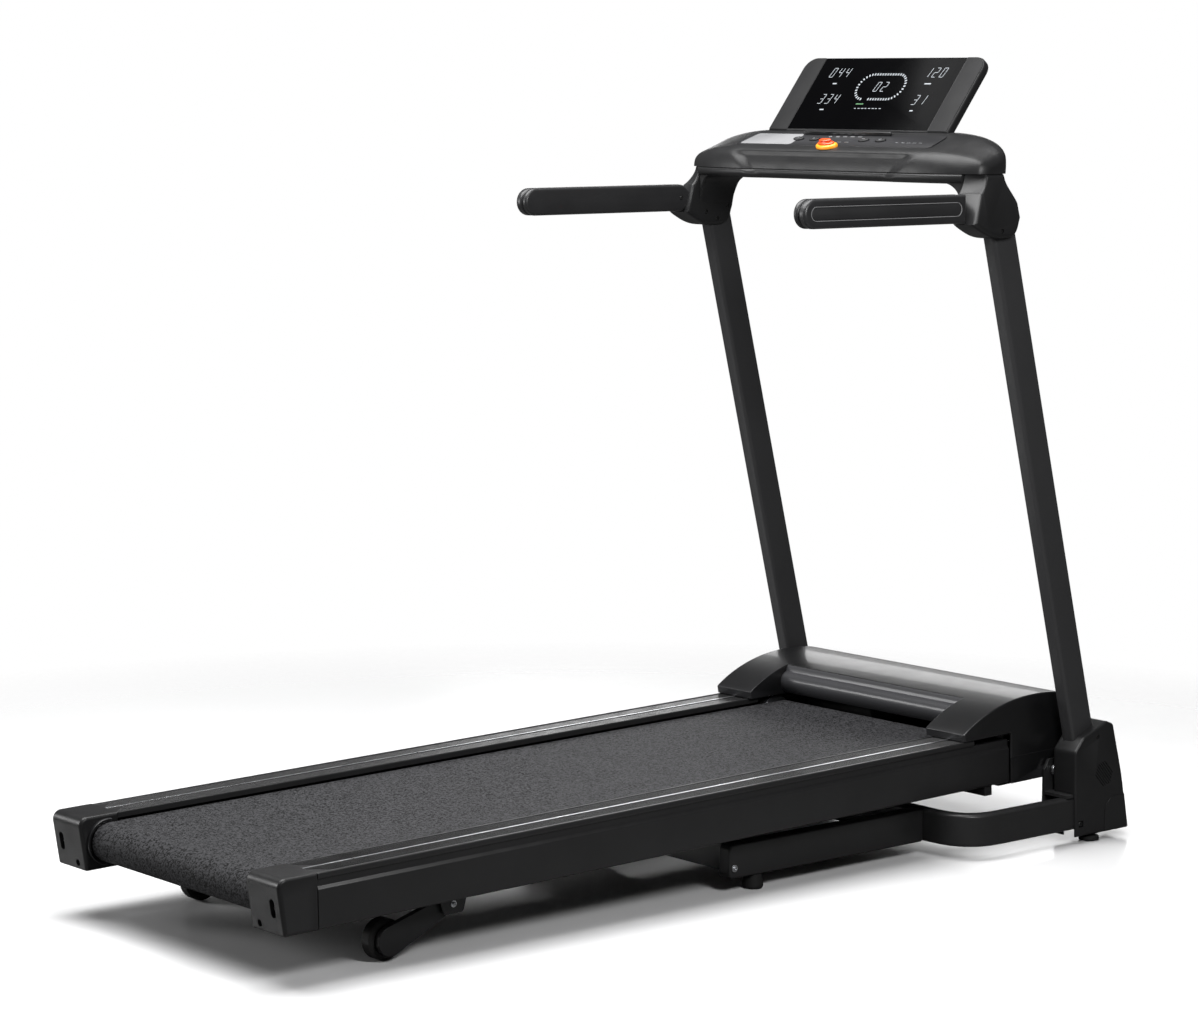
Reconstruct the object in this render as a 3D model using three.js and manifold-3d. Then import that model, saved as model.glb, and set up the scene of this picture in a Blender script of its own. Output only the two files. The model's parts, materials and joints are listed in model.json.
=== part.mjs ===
// Folding home treadmill: belt deck, motor hood, leaning uprights, handlebars, console and base.
// Millimetres. +X is the user's right, +Y is forward, +Z is up, and the floor is z = 0.
// Inside the file Y is counted from the rear face of the deck; the last lines centre the object.
import * as THREE from "three";
import { mergeVertices } from "three/addons/utils/BufferGeometryUtils.js";
import Module from "manifold-3d";

const wasm = await Module();
wasm.setup();

// ---------------------------------------------------------------- driving dimensions
const GAP = 0.3; // air left between touching pieces
const OVERALL = { rear: 1.3, front: 1803 }; // ends of the object, counted along Y

const DECK = {
  slope: THREE.MathUtils.degToRad(1.08), rearHeight: 171.5, halfWidth: 322, depth: 87.4,
  railInner: 240, railLength: 1478, sideLength: 1566, capLength: 74,
};
const BELT = { halfWidth: 228, top: -11.5, thickness: 1.7 };
const ROLLER = { radius: 30, rearY: 50, frontY: 1530, halfLength: 232 };
const BOARD = { halfWidth: 234, rear: 110, front: 1470, thickness: 18 };
const PULLEY = { inner: -246, outer: -262, rollerRadius: 38, motorRadius: 17 };
const MOTOR = { y: 1640, z: -8, radius: 42, inner: -60, outer: -244 };
const TRAY = { halfWidth: 294, wall: 6, floor: -99, top: -22, rear: 1568, front: 1735, tongue: 1450 };
const HOOD = { halfWidth: 325, armInner: 230, wall: 4, skirtRear: 1568, skirtBottom: -90 };

const PIVOT = { y: 1670, z: 125, pinRadius: 8 }; // the fold axis, along X
const BASE = { tubeX: 378, tubeWidth: 26, low: 25, high: 83, crossY: 1405, bend: 75, frontY: 1732 };
const BEAM = { outer: 284, width: 28, rear: 936, footY: 1003 };
const UPRIGHT = {
  x: 363.3, width: 29.5, depth: 55, rearAtFloor: 1718, lean: THREE.MathUtils.degToRad(13.87),
  bottom: 84, top: 1165,
};
const KNUCKLE = { inner: 339, outer: 396, bottom: 1081, top: 1190 };
const HANDLE = { centreX: 363.3, width: 29, height: 49, rear: 1009, front: 1384, z: 1132, tilt: 0.004 };
const CONSOLE = { halfWidth: 392, seam: 1190.3 };
const PANEL = { rearY: 1412, rearZ: 1229, frontY: 1482, frontZ: 1256 }; // the console's sloping top face
const KEY = {
  x: { key_start: -105, key_stop: -63, key_slower: 63, key_faster: 105 }, y: 1446,
  halfWidth: 12, halfDepth: 7, height: 3.2, sunk: 0.5, pocket: 1.6,
};
const SAFETY = {
  x: 0, y: 1416,
  seat: { halfWidth: 25, halfDepth: 13, height: 6 },
  key: { halfWidth: 19, halfDepth: 9, height: 8 },
};
const LEDGE = { y: 1468, halfLength: 112, halfThickness: 2, height: 7 };
const SCREEN = { half: 179, low: 4, high: 163, deep: 2 };
const DISPLAY = { halfWidth: 230, bottomY: 1484, bottomZ: 1258.6, rise: 132, run: 103, thickness: 17 };
const STRUT = { baseY: 1000, baseZ: 72, topY: 1440, topZ: 102, tubeRadius: 14, rodRadius: 5, tube: 235 };
const LIFT = {
  rear: 1511, front: 1529, halfLength: 316, depth: 18, armRear: 1422, armX: [-11, 7], armWidth: 4,
};
const INLET = { x0: 180, x1: 228, z0: -88, z1: -60, flange: 4, wall: 10 };
const SWITCH = { x0: 240, x1: 262, z0: -88, z1: -60 };
const REAR_FOOT = { pivotY: 352, pivotZ: 76, wheelY: 240, wheelRadius: 33, x: 276 };
const TRANSPORT = { y: 1763, z: 35, radius: 26, x: 368, width: 18 };

// ---------------------------------------------------------------- materials
function finish(color, roughness, metalness = 0) {
  return new THREE.MeshStandardMaterial({ color, roughness, metalness });
}

const FINISH = {
  paint: () => finish(0x17181a, 0.5, 0.3),
  plastic: () => finish(0x1c1d1f, 0.55),
  gloss: () => finish(0x101113, 0.18),
  belt: () => finish(0x242527, 0.9),
  rubber: () => finish(0x121212, 0.85),
  steel: () => finish(0xb9bcc0, 0.35, 0.9),
  board: () => finish(0x6b5644, 0.8),
  glass: () => finish(0x060708, 0.08),
  red: () => finish(0xd02a12, 0.35),
  orange: () => finish(0xf08a12, 0.4),
};

// ---------------------------------------------------------------- shape helpers
const model = new THREE.Group();
const deck = new THREE.Group(); // origin at the top of the foot rails, at the rear; Y runs up the slope
deck.position.set(0, 0, DECK.rearHeight);
deck.rotation.x = DECK.slope;
model.add(deck);

function addPart(parent, name, geometry, material) {
  const mesh = new THREE.Mesh(geometry, material);
  mesh.name = name;
  parent.add(mesh);
  return mesh;
}

// Adds the piece twice, mirrored in X: name_right at +X and name_left at -X.
function addPair(parent, name, geometry, material) {
  addPart(parent, `${name}_right`, geometry, material());
  addPart(parent, `${name}_left`, mirrored(geometry), material());
}

// The same solid on the other side of the X = 0 plane, with its faces still pointing out.
function mirrored(geometry) {
  const copy = geometry.index ? geometry.toNonIndexed() : geometry.clone();
  const position = copy.getAttribute("position");
  for (let i = 0; i < position.count; i += 3) {
    const corners = [0, 2, 1].map((k) => new THREE.Vector3().fromBufferAttribute(position, i + k));
    corners.forEach((corner, k) => position.setXYZ(i + k, -corner.x, corner.y, corner.z));
  }
  copy.deleteAttribute("normal");
  copy.deleteAttribute("uv");
  return copy;
}

function outline(points) {
  return new THREE.Shape(points.map(([a, b]) => new THREE.Vector2(a, b)));
}

// A shape drawn in (Y, Z), extruded along X from x0 to x1.
function alongX(shape, x0, x1, { bevel = 0, curve = 6, steps = 1 } = {}) {
  const geometry = new THREE.ExtrudeGeometry(shape, {
    depth: x1 - x0 - 2 * bevel, steps, curveSegments: curve, bevelEnabled: bevel > 0,
    bevelThickness: bevel, bevelSize: bevel, bevelOffset: -bevel, bevelSegments: 2,
  });
  geometry.translate(0, 0, x0 + bevel);
  geometry.applyMatrix4(new THREE.Matrix4().set(0, 0, 1, 0, 1, 0, 0, 0, 0, 1, 0, 0, 0, 0, 0, 1));
  return geometry;
}

// A shape drawn in (X, Z), extruded along Y from y0 to y1.
function alongY(shape, y0, y1) {
  const geometry = new THREE.ExtrudeGeometry(shape, { depth: y1 - y0, bevelEnabled: false });
  geometry.rotateX(Math.PI / 2);
  geometry.translate(0, y1, 0);
  return geometry;
}

function box(x0, x1, y0, y1, z0, z1) {
  const geometry = new THREE.BoxGeometry(x1 - x0, y1 - y0, z1 - z0);
  return geometry.translate((x0 + x1) / 2, (y0 + y1) / 2, (z0 + z1) / 2);
}

// A turned piece on an axis along X, from [x, radius] stations.
function turnedX(stations, y, z, segments = 20) {
  const profile = stations.map(([x, radius]) => new THREE.Vector2(radius, x));
  profile.unshift(new THREE.Vector2(0, stations[0][0]));
  profile.push(new THREE.Vector2(0, stations[stations.length - 1][0]));
  return new THREE.LatheGeometry(profile, segments).rotateZ(-Math.PI / 2).translate(0, y, z);
}

// A turned piece on a vertical axis, from [z, radius] stations.
function turnedZ(stations, x, y, segments = 20) {
  const profile = stations.map(([z, radius]) => new THREE.Vector2(radius, z));
  profile.unshift(new THREE.Vector2(0, stations[0][0]));
  profile.push(new THREE.Vector2(0, stations[stations.length - 1][0]));
  return new THREE.LatheGeometry(profile, segments).rotateX(Math.PI / 2).translate(x, y, 0);
}

function toSolid(geometry) {
  const bare = geometry.clone();
  bare.deleteAttribute("normal");
  bare.deleteAttribute("uv");
  const merged = mergeVertices(bare, 1e-4);
  return new wasm.Manifold(new wasm.Mesh({
    numProp: 3, vertProperties: merged.getAttribute("position").array, triVerts: merged.index.array,
  }));
}

function toGeometry(solid) {
  const mesh = solid.getMesh();
  const geometry = new THREE.BufferGeometry();
  geometry.setAttribute("position", new THREE.BufferAttribute(new Float32Array(mesh.vertProperties), 3));
  geometry.setIndex(new THREE.BufferAttribute(new Uint32Array(mesh.triVerts), 1));
  return geometry;
}

function join(first, ...others) {
  return toGeometry(others.reduce((solid, other) => solid.add(toSolid(other)), toSolid(first)));
}

function cut(first, ...tools) {
  return toGeometry(tools.reduce((solid, tool) => solid.subtract(toSolid(tool)), toSolid(first)));
}

// A closed loop around two round pieces, as a shape in (Y, Z): two arcs joined by tangents.
function loopShape(rear, front, extra) {
  const distance = Math.hypot(front.y - rear.y, front.z - rear.z);
  const heading = Math.atan2(front.z - rear.z, front.y - rear.y);
  const spread = Math.acos((rear.radius - front.radius) / distance);
  const shape = new THREE.Shape();
  shape.absarc(front.y, front.z, front.radius + extra, heading - spread, heading + spread, false);
  shape.absarc(rear.y, rear.z, rear.radius + extra, heading + spread, heading - spread, false);
  shape.closePath();
  return shape;
}

function ring(rear, front, innerExtra, outerExtra, x0, x1, curve) {
  const shape = loopShape(rear, front, outerExtra);
  shape.holes.push(new THREE.Path(loopShape(rear, front, innerExtra).getPoints(curve)));
  return alongX(shape, x0, x1, { curve });
}

// A plain disc on an axis along X, for a hole or a pulley.
function disc(y, z, radius, x0, x1, segments = 20) {
  return turnedX([[x0, radius], [x1, radius]], y, z, segments);
}

// ---------------------------------------------------------------- base
function uprightRear(z) {
  return UPRIGHT.rearAtFloor - z * Math.tan(UPRIGHT.lean);
}

function uprightProfile(bottom, top, grow) {
  const span = UPRIGHT.depth / Math.cos(UPRIGHT.lean) + grow;
  return outline([
    [uprightRear(bottom) - grow, bottom], [uprightRear(bottom) + span, bottom],
    [uprightRear(top) + span, top], [uprightRear(top) - grow, top],
  ]);
}

function baseCorner(x, y) {
  return new THREE.Vector3(x, y, (BASE.low + BASE.high) / 2);
}

// The centre line of the bent tube: two legs, two bends and the cross piece between them.
function basePath() {
  const legX = BASE.tubeX;
  const turnX = legX - BASE.bend;
  const turnY = BASE.crossY + BASE.bend;
  const path = new THREE.CurvePath();
  path.add(new THREE.LineCurve3(baseCorner(legX, BASE.frontY), baseCorner(legX, turnY)));
  path.add(new THREE.QuadraticBezierCurve3(
    baseCorner(legX, turnY), baseCorner(legX, BASE.crossY), baseCorner(turnX, BASE.crossY),
  ));
  path.add(new THREE.LineCurve3(baseCorner(turnX, BASE.crossY), baseCorner(-turnX, BASE.crossY)));
  path.add(new THREE.QuadraticBezierCurve3(
    baseCorner(-turnX, BASE.crossY), baseCorner(-legX, BASE.crossY), baseCorner(-legX, turnY),
  ));
  path.add(new THREE.LineCurve3(baseCorner(-legX, turnY), baseCorner(-legX, BASE.frontY)));
  return path;
}

function makeBaseTube() {
  const tall = (BASE.high - BASE.low) / 2;
  const wide = BASE.tubeWidth / 2;
  const section = outline([[-tall, -wide], [tall, -wide], [tall, wide], [-tall, wide]]);
  const sweep = { steps: 64, extrudePath: basePath(), bevelEnabled: false };
  const tube = new THREE.ExtrudeGeometry(section, sweep);
  addPart(model, "base_u_tube", tube, FINISH.paint());
}

function makeBeams() {
  const front = BASE.crossY - BASE.tubeWidth / 2 - GAP;
  const round = 10;
  const side = new THREE.Shape();
  side.moveTo(front, BASE.low);
  side.lineTo(front, BASE.high);
  side.absarc(BEAM.rear + round, BASE.high - round, round, Math.PI / 2, Math.PI, false);
  side.absarc(BEAM.rear + round, BASE.low + round, round, Math.PI, Math.PI * 1.5, false);
  addPair(model, "base_beam", alongX(side, BEAM.outer - BEAM.width, BEAM.outer), FINISH.paint);

  const inner = BEAM.outer - BEAM.width - GAP;
  const cross = box(-inner, inner, 960, 990, 30, 78);
  const earShape = outline([[985, 52], [1012, 58], [1012, 86], [985, 78]]);
  const ears = LIFT.armX.map((x) => alongX(earShape, x, x + LIFT.armWidth));
  const eyeHole = disc(STRUT.baseY, STRUT.baseZ, 5.2, -20, 20, 12);
  addPart(model, "base_cross_tube", cut(join(cross, ...ears), eyeHole), FINISH.paint());
}

function makeBaseFeet() {
  const top = BASE.low - GAP;
  const foot = turnedZ([[0, 17], [4, 18], [top, 15]], BEAM.outer - 16, BEAM.footY, 16);
  addPair(model, "base_foot", foot, FINISH.rubber);
  const level = turnedZ([[0, 18], [7, 18], [9, 6], [top, 6]], BASE.tubeX + 3, 1713, 16);
  addPair(model, "leveling_foot", level, FINISH.rubber);
}

function makePivots() {
  const web = outline([[1646, 60], [1694, 60], [1694, 128], [1682, 146], [1658, 146], [1646, 128]]);
  const plate = alongX(web, 328, 334);
  const flange = box(328, BASE.tubeX + 12, 1646, 1690, BASE.high + GAP, BASE.high + 6);
  const hole = disc(PIVOT.y, PIVOT.z, PIVOT.pinRadius + 0.3, 320, 340);
  addPair(model, "pivot_bracket", cut(join(plate, flange), hole), FINISH.paint);

  const r = PIVOT.pinRadius;
  const pin = turnedX([[280, 6], [282, r], [294 + GAP, r], [294 + GAP, 13], [327, 13], [327, r],
    [336, r], [336, 11], [341, 10]], PIVOT.y, PIVOT.z, 20);
  addPair(model, "fold_pin", pin, FINISH.steel);
}

function makeUprights() {
  const half = UPRIGHT.width / 2;
  const tube = alongX(uprightProfile(UPRIGHT.bottom, UPRIGHT.top, 0), UPRIGHT.x - half, UPRIGHT.x + half);
  addPair(model, "upright", tube, FINISH.paint);
}

function makeFootCovers() {
  const skin = 3;
  const [inside, outside] = [341, 396];
  const shell = outline([
    [1662, 12], [1658, 172], [1678, 190], [1742, 214], [1756, 208], [1782, 118], [OVERALL.front, 12],
  ]);
  const hollow = outline([
    [1662 + skin, 8], [1658 + skin, 171], [1680, 187], [1742, 210], [1753, 205], [1779, 117], [1800, 8],
  ]);
  const legGap = box(BASE.tubeX - 13.5, BASE.tubeX + 13.5, 1640, 1680, 8, BASE.high + 7);
  const flangeGap = box(320, BASE.tubeX + 13, 1640, 1691, BASE.high - 1, BASE.high + 7);
  const halfSlot = UPRIGHT.width / 2 + 0.5;
  const tubeGap = alongX(uprightProfile(150, 240, 0.5), UPRIGHT.x - halfSlot, UPRIGHT.x + halfSlot);
  const cover = cut(
    alongX(shell, inside, outside, { bevel: 2.5 }), alongX(hollow, inside + skin, outside - skin),
    legGap, flangeGap, tubeGap,
  );
  addPair(model, "foot_cover", cover, FINISH.plastic);

  const w = TRANSPORT.width / 2;
  const r = TRANSPORT.radius;
  const wheel = turnedX([
    [-w - 4, 5], [-w, 5], [-w, r - 2], [-w + 2, r], [w - 2, r], [w, r - 2], [w, 5], [w + 4, 5],
  ], TRANSPORT.y, TRANSPORT.z, 24).translate(TRANSPORT.x, 0, 0);
  addPair(model, "transport_wheel", wheel, FINISH.rubber);
}

// ---------------------------------------------------------------- head
function makeKnuckles() {
  const side = new THREE.Shape();
  side.moveTo(HANDLE.front + GAP, 1107);
  side.lineTo(HANDLE.front + GAP, 1158);
  side.quadraticCurveTo(1396, 1164, 1404, KNUCKLE.top - GAP);
  side.lineTo(1492, KNUCKLE.top - GAP);
  side.quadraticCurveTo(1512, 1140, 1506, 1108);
  side.quadraticCurveTo(1502, 1083, 1470, KNUCKLE.bottom);
  side.quadraticCurveTo(1430, 1078, 1408, 1092);
  const body = alongX(side, KNUCKLE.inner, KNUCKLE.outer, { bevel: 5 });
  const half = UPRIGHT.width / 2 + 0.4;
  const socket = alongX(uprightProfile(1060, UPRIGHT.top + 0.4, 0.4), UPRIGHT.x - half, UPRIGHT.x + half);
  addPair(model, "knuckle", cut(body, socket), FINISH.plastic);
}

function makeHandlebars() {
  const r = HANDLE.height / 2;
  const side = new THREE.Shape();
  const drop = (HANDLE.front - HANDLE.rear) * HANDLE.tilt;
  side.moveTo(HANDLE.front, HANDLE.z - r);
  side.lineTo(HANDLE.front, HANDLE.z + r);
  side.absarc(HANDLE.rear + r, HANDLE.z + drop, r, Math.PI / 2, Math.PI * 1.5, false);
  const half = HANDLE.width / 2;
  const bar = alongX(side, HANDLE.centreX - half, HANDLE.centreX + half, { bevel: 4, curve: 8 });
  addPair(model, "handlebar", bar, FINISH.plastic);
}

// Space of a control on the console's sloping top face: Z stands off the face at (x, y).
function onPanel(geometry, x, y) {
  const rise = Math.atan2(PANEL.frontZ - PANEL.rearZ, PANEL.frontY - PANEL.rearY);
  const z = PANEL.rearZ + (y - PANEL.rearY) * Math.tan(rise);
  return geometry.rotateX(rise).translate(x, y, z);
}

// An oval standing on the panel at (x, y), from z0 to z1 off the face.
function ovalOnPanel(halfWidth, halfDepth, z0, z1, x, y) {
  const oval = new THREE.Shape();
  oval.absellipse(0, 0, halfWidth, halfDepth, 0, Math.PI * 2, false);
  const solid = new THREE.ExtrudeGeometry(oval, { depth: z1 - z0, curveSegments: 6, bevelEnabled: false });
  return onPanel(solid.translate(0, 0, z0), x, y);
}

// Narrows and lowers the console towards its two ends, so that it wraps onto the knuckles.
function drawInEnds(geometry, pivotY, pivotZ, narrow, lower) {
  const position = geometry.getAttribute("position");
  for (let i = 0; i < position.count; i++) {
    const t = THREE.MathUtils.smoothstep(Math.abs(position.getX(i)), 250, CONSOLE.halfWidth);
    const y = pivotY + (position.getY(i) - pivotY) * (1 - narrow * t);
    const z = pivotZ + (position.getZ(i) - pivotZ) * (1 - lower * t);
    position.setXYZ(i, position.getX(i), y, z);
  }
  return geometry;
}

function makeConsole() {
  const half = CONSOLE.halfWidth;
  const top = outline([
    [1394, CONSOLE.seam], [1398, 1212], [1404, 1224], [PANEL.rearY, PANEL.rearZ],
    [PANEL.frontY, PANEL.frontZ], [1512, 1258],
    [1526, 1250], [1530, 1225], [1526, CONSOLE.seam],
  ]);
  const shell = drawInEnds(alongX(top, -half, half, { steps: 32 }), 1462, CONSOLE.seam, 0.5, 0.62);
  const pockets = Object.values(KEY.x).map((x) => ovalOnPanel(
    KEY.halfWidth + 0.5, KEY.halfDepth + 0.5, -KEY.pocket, KEY.height, x, KEY.y,
  ));
  addPart(model, "console_top_shell", cut(shell, ...pockets), FINISH.plastic());

  const lower = outline([
    [1396, CONSOLE.seam - GAP], [1392, 1183], [1397, 1175], [1410, 1173], [1500, 1173], [1518, 1178],
    [1524, CONSOLE.seam - GAP],
  ]);
  const inner = KNUCKLE.inner - GAP;
  addPart(model, "console_lower_shell", alongX(lower, -inner, inner), FINISH.plastic());
}

function makeDisplay() {
  const d = DISPLAY;
  const slope = Math.atan2(d.run, d.rise); // lean from the vertical
  const tall = Math.hypot(d.run, d.rise);
  const corner = 26;
  const face = new THREE.Shape();
  face.moveTo(-d.halfWidth, 0);
  face.lineTo(d.halfWidth, 0);
  face.absarc(d.halfWidth - corner, tall - corner, corner, 0, Math.PI / 2, false);
  face.absarc(corner - d.halfWidth, tall - corner, corner, Math.PI / 2, Math.PI, false);
  const tilted = (geometry) => geometry.rotateX(Math.PI / 2 - slope).translate(0, d.bottomY, d.bottomZ);
  const slab = new THREE.ExtrudeGeometry(face, {
    depth: d.thickness - 4, curveSegments: 6, bevelThickness: 2, bevelSize: 2, bevelOffset: -2,
    bevelSegments: 1,
  }).translate(0, 0, 2 - d.thickness);
  const wide = SCREEN.half;
  const recess = box(-wide - GAP, wide + GAP, SCREEN.low - GAP, SCREEN.high + GAP, -SCREEN.deep, 5);
  const neck = alongX(outline([
    [d.bottomY + 12, d.bottomZ], [1524, d.bottomZ], [1531, 1296], [1521, 1296],
  ]), -150, 150);
  const floor = box(-400, 400, 1400, 1600, 1100, d.bottomZ);
  addPart(model, "display_housing", cut(join(tilted(slab), neck), tilted(recess), floor), FINISH.plastic());
  const glass = box(-wide, wide, SCREEN.low, SCREEN.high, GAP - SCREEN.deep, 0.2);
  addPart(model, "display_glass", tilted(glass), FINISH.glass());
}

function makeControls() {
  Object.entries(KEY.x).forEach(([name, x]) => {
    const cap = ovalOnPanel(KEY.halfWidth, KEY.halfDepth, -KEY.sunk, KEY.height - KEY.sunk, x, KEY.y);
    addPart(model, name, cap, FINISH.plastic());
  });

  const { x, y, seat, key } = SAFETY;
  const seatTop = GAP + seat.height;
  addPart(model, "safety_key_base", ovalOnPanel(seat.halfWidth, seat.halfDepth, GAP, seatTop, x, y),
    FINISH.orange());
  const grip = ovalOnPanel(key.halfWidth, key.halfDepth, seatTop + GAP, seatTop + GAP + key.height, x, y);
  addPart(model, "safety_key", grip, FINISH.red());

  const lip = box(-LEDGE.halfLength, LEDGE.halfLength, -LEDGE.halfThickness, LEDGE.halfThickness, GAP,
    LEDGE.height);
  addPart(model, "tablet_ledge", onPanel(lip, 0, LEDGE.y), FINISH.gloss());
}

// ---------------------------------------------------------------- deck
function makeRails() {
  const side = outline([
    [DECK.halfWidth, -10.3], [284, -10.3], [284, -13.3], [DECK.halfWidth - 3, -13.3],
    [DECK.halfWidth - 3, 3 - DECK.depth], [284, 3 - DECK.depth], [284, -DECK.depth],
    [DECK.halfWidth - 2, -DECK.depth], [DECK.halfWidth, 2 - DECK.depth],
  ]);
  const channel = alongY(side, DECK.capLength + GAP, DECK.sideLength);
  const earShape = outline([[325, 2 - DECK.depth], [335, -116], [370, -116], [380, 2 - DECK.depth]]);
  const ear = alongX(earShape, 284.2, 289);
  addPair(deck, "side_rail", join(channel, ear), FINISH.paint);

  const top = outline([
    [DECK.railInner, -1.5], [DECK.railInner, -10], [DECK.halfWidth, -10], [DECK.halfWidth, -2],
    [DECK.halfWidth - 2, 0], [DECK.railInner + 1.5, 0],
  ]);
  addPair(deck, "foot_rail", alongY(top, DECK.capLength + GAP, DECK.railLength), FINISH.plastic);
}

function makeEndCaps() {
  const side = new THREE.Shape();
  side.moveTo(DECK.capLength, 1);
  side.lineTo(14, 1);
  side.quadraticCurveTo(1, -1, 1, -16);
  side.lineTo(11, -DECK.depth - 1);
  side.lineTo(DECK.capLength, -DECK.depth - 1);
  const block = alongX(side, 236, DECK.halfWidth + 2, { bevel: 3 });
  const pocket = box(230, 264, ROLLER.rearY - 9, ROLLER.rearY + 9, -53, -34);
  const boltHole = new THREE.CylinderGeometry(6, 6, 40, 12).translate(301, 0, -46);
  const screwHole = new THREE.CylinderGeometry(5, 5, 40, 12).translate(260, 10, -77);
  addPair(deck, "end_cap", cut(block, pocket, boltHole, screwHole), FINISH.plastic);
}

function makeRunningGear() {
  const z = BELT.top - BELT.thickness - GAP - ROLLER.radius;
  const rear = { y: ROLLER.rearY, z, radius: ROLLER.radius };
  const front = { y: ROLLER.frontY, z, radius: ROLLER.radius };
  const belt = ring(rear, front, GAP, GAP + BELT.thickness, -BELT.halfWidth, BELT.halfWidth, 8);
  addPart(deck, "running_belt", belt, FINISH.belt());

  const boardTop = BELT.top - BELT.thickness - GAP;
  addPart(deck, "running_board", box(-BOARD.halfWidth, BOARD.halfWidth, BOARD.rear, BOARD.front,
    boardTop - BOARD.thickness, boardTop), FINISH.board());
  const barTop = boardTop - BOARD.thickness - GAP;
  [["cross_member_rear", 330], ["cross_member_front", 1330]].forEach(([name, y]) => {
    addPart(deck, name, box(-284 + GAP, 284 - GAP, y - 14, y + 14, barTop - 28, barTop), FINISH.paint());
  });

  const h = ROLLER.halfLength;
  const r = ROLLER.radius;
  const rearStations = [[-262, 7], [-h, 7], [-h, r], [h, r], [h, 7], [262, 7]];
  addPart(deck, "rear_roller", turnedX(rearStations, rear.y, z, 28), FINISH.steel());
  addPart(deck, "front_roller", turnedX([
    [-282, 7], [PULLEY.outer, 7], [PULLEY.outer, PULLEY.rollerRadius], [PULLEY.inner, PULLEY.rollerRadius],
    [PULLEY.inner, 12], [-h, 12], [-h, r], [h, r], [h, 7], [282, 7],
  ], front.y, z, 28), FINISH.steel());

  const driven = { y: ROLLER.frontY, z, radius: PULLEY.rollerRadius };
  const driver = { y: MOTOR.y, z: MOTOR.z, radius: PULLEY.motorRadius };
  addPart(deck, "drive_belt", ring(driven, driver, GAP, GAP + 2.5, PULLEY.outer + 2, PULLEY.inner - 2, 8),
    FINISH.rubber());
  const pulley = disc(MOTOR.y, MOTOR.z, PULLEY.motorRadius, PULLEY.outer - 1, PULLEY.inner + 1);
  addPart(deck, "motor_pulley", pulley, FINISH.steel());
}

function foldAxis() {
  deck.updateMatrixWorld();
  return deck.worldToLocal(new THREE.Vector3(0, PIVOT.y, PIVOT.z));
}

function makeMotorBay() {
  const t = TRAY;
  const trough = outline([
    [t.halfWidth, t.top], [t.halfWidth - t.wall, t.top], [t.halfWidth - t.wall, t.floor + 3],
    [-t.halfWidth + t.wall, t.floor + 3], [-t.halfWidth + t.wall, t.top], [-t.halfWidth, t.top],
    [-t.halfWidth, t.floor], [t.halfWidth, t.floor],
  ].reverse());
  const tongues = [-1, 1].map((s) => {
    const [a, b] = [s * t.halfWidth, s * (t.halfWidth - t.wall)].sort((p, q) => p - q);
    return box(a, b, t.tongue, t.rear + 5, -80, t.top);
  });
  const frontWall = box(-t.halfWidth + 2, t.halfWidth - 2, t.front - 3, t.front, t.floor + 1, -46);
  const pivot = foldAxis();
  const pinHole = disc(pivot.y, pivot.z, PIVOT.pinRadius + GAP, -300, 300);
  const wallHole = ({ x0, x1, z0, z1 }) => box(
    x0 - GAP, x1 + GAP, t.front - 9, t.front + 9, z0 - GAP, z1 + GAP,
  );
  const tray = join(alongY(trough, t.rear, t.front), ...tongues, frontWall);
  addPart(deck, "motor_tray", cut(tray, pinHole, wallHole(INLET), wallHole(SWITCH)), FINISH.paint());

  makeInletAndSwitch(t.front);

  const can = turnedX([[MOTOR.outer, 20], [MOTOR.outer + 8, 20], [MOTOR.outer + 8, MOTOR.radius],
    [MOTOR.inner - 4, MOTOR.radius], [MOTOR.inner, MOTOR.radius - 6]], MOTOR.y, MOTOR.z, 24);
  const cradle = box(MOTOR.outer + 20, MOTOR.inner - 20, MOTOR.y - 36, MOTOR.y + 36, t.floor + 3 + GAP,
    MOTOR.z - 20);
  addPart(deck, "drive_motor", join(can, cradle), FINISH.paint());
  addPart(deck, "motor_controller", box(40, 200, 1586, 1700, t.floor + 3 + GAP, -50), FINISH.steel());
}

function makeInletAndSwitch(wall) {
  const { x0, x1, z0, z1, flange, wall: rim } = INLET;
  const body = box(x0, x1, wall - 8, wall + 0.2, z0, z1);
  const face = box(x0 - flange, x1 + flange, wall + GAP - 0.2, wall + 3, z0 - flange, z1 + flange);
  const opening = box(x0 + rim, x1 - rim, wall - 5, wall + 9, z0 + 6, z1 - 6);
  addPart(deck, "power_inlet", cut(join(body, face), opening), FINISH.plastic());
  const middle = (SWITCH.z0 + SWITCH.z1) / 2;
  const rocker = outline([
    [wall - 6, SWITCH.z1 - 2], [wall + 2, SWITCH.z1 - 2], [wall + 4, middle], [wall + 2, SWITCH.z0 + 2],
    [wall - 6, SWITCH.z0 + 2],
  ]);
  addPart(deck, "power_switch", alongX(rocker, SWITCH.x0 + 1, SWITCH.x1 - 1), FINISH.red());
}

// Side outline of the hood in deck coordinates; inset pulls every face in by that much.
function hoodOutline(inset) {
  const shape = new THREE.Shape();
  const front = 1744 - inset;
  shape.moveTo(1452 + inset * 4, GAP - inset);
  shape.lineTo(1450 + inset * 4, 14 - inset);
  shape.bezierCurveTo(1478, 34 - inset, 1530, 58 - inset, 1600, 63 - inset);
  shape.bezierCurveTo(1660, 67 - inset, 1712, 60 - inset, 1730 - inset, 44 - inset);
  shape.quadraticCurveTo(front, 30 - inset, front, 6);
  shape.lineTo(front, -44 - inset);
  shape.lineTo(1568, -44 - inset);
  shape.lineTo(1568, GAP - inset);
  return shape;
}

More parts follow.
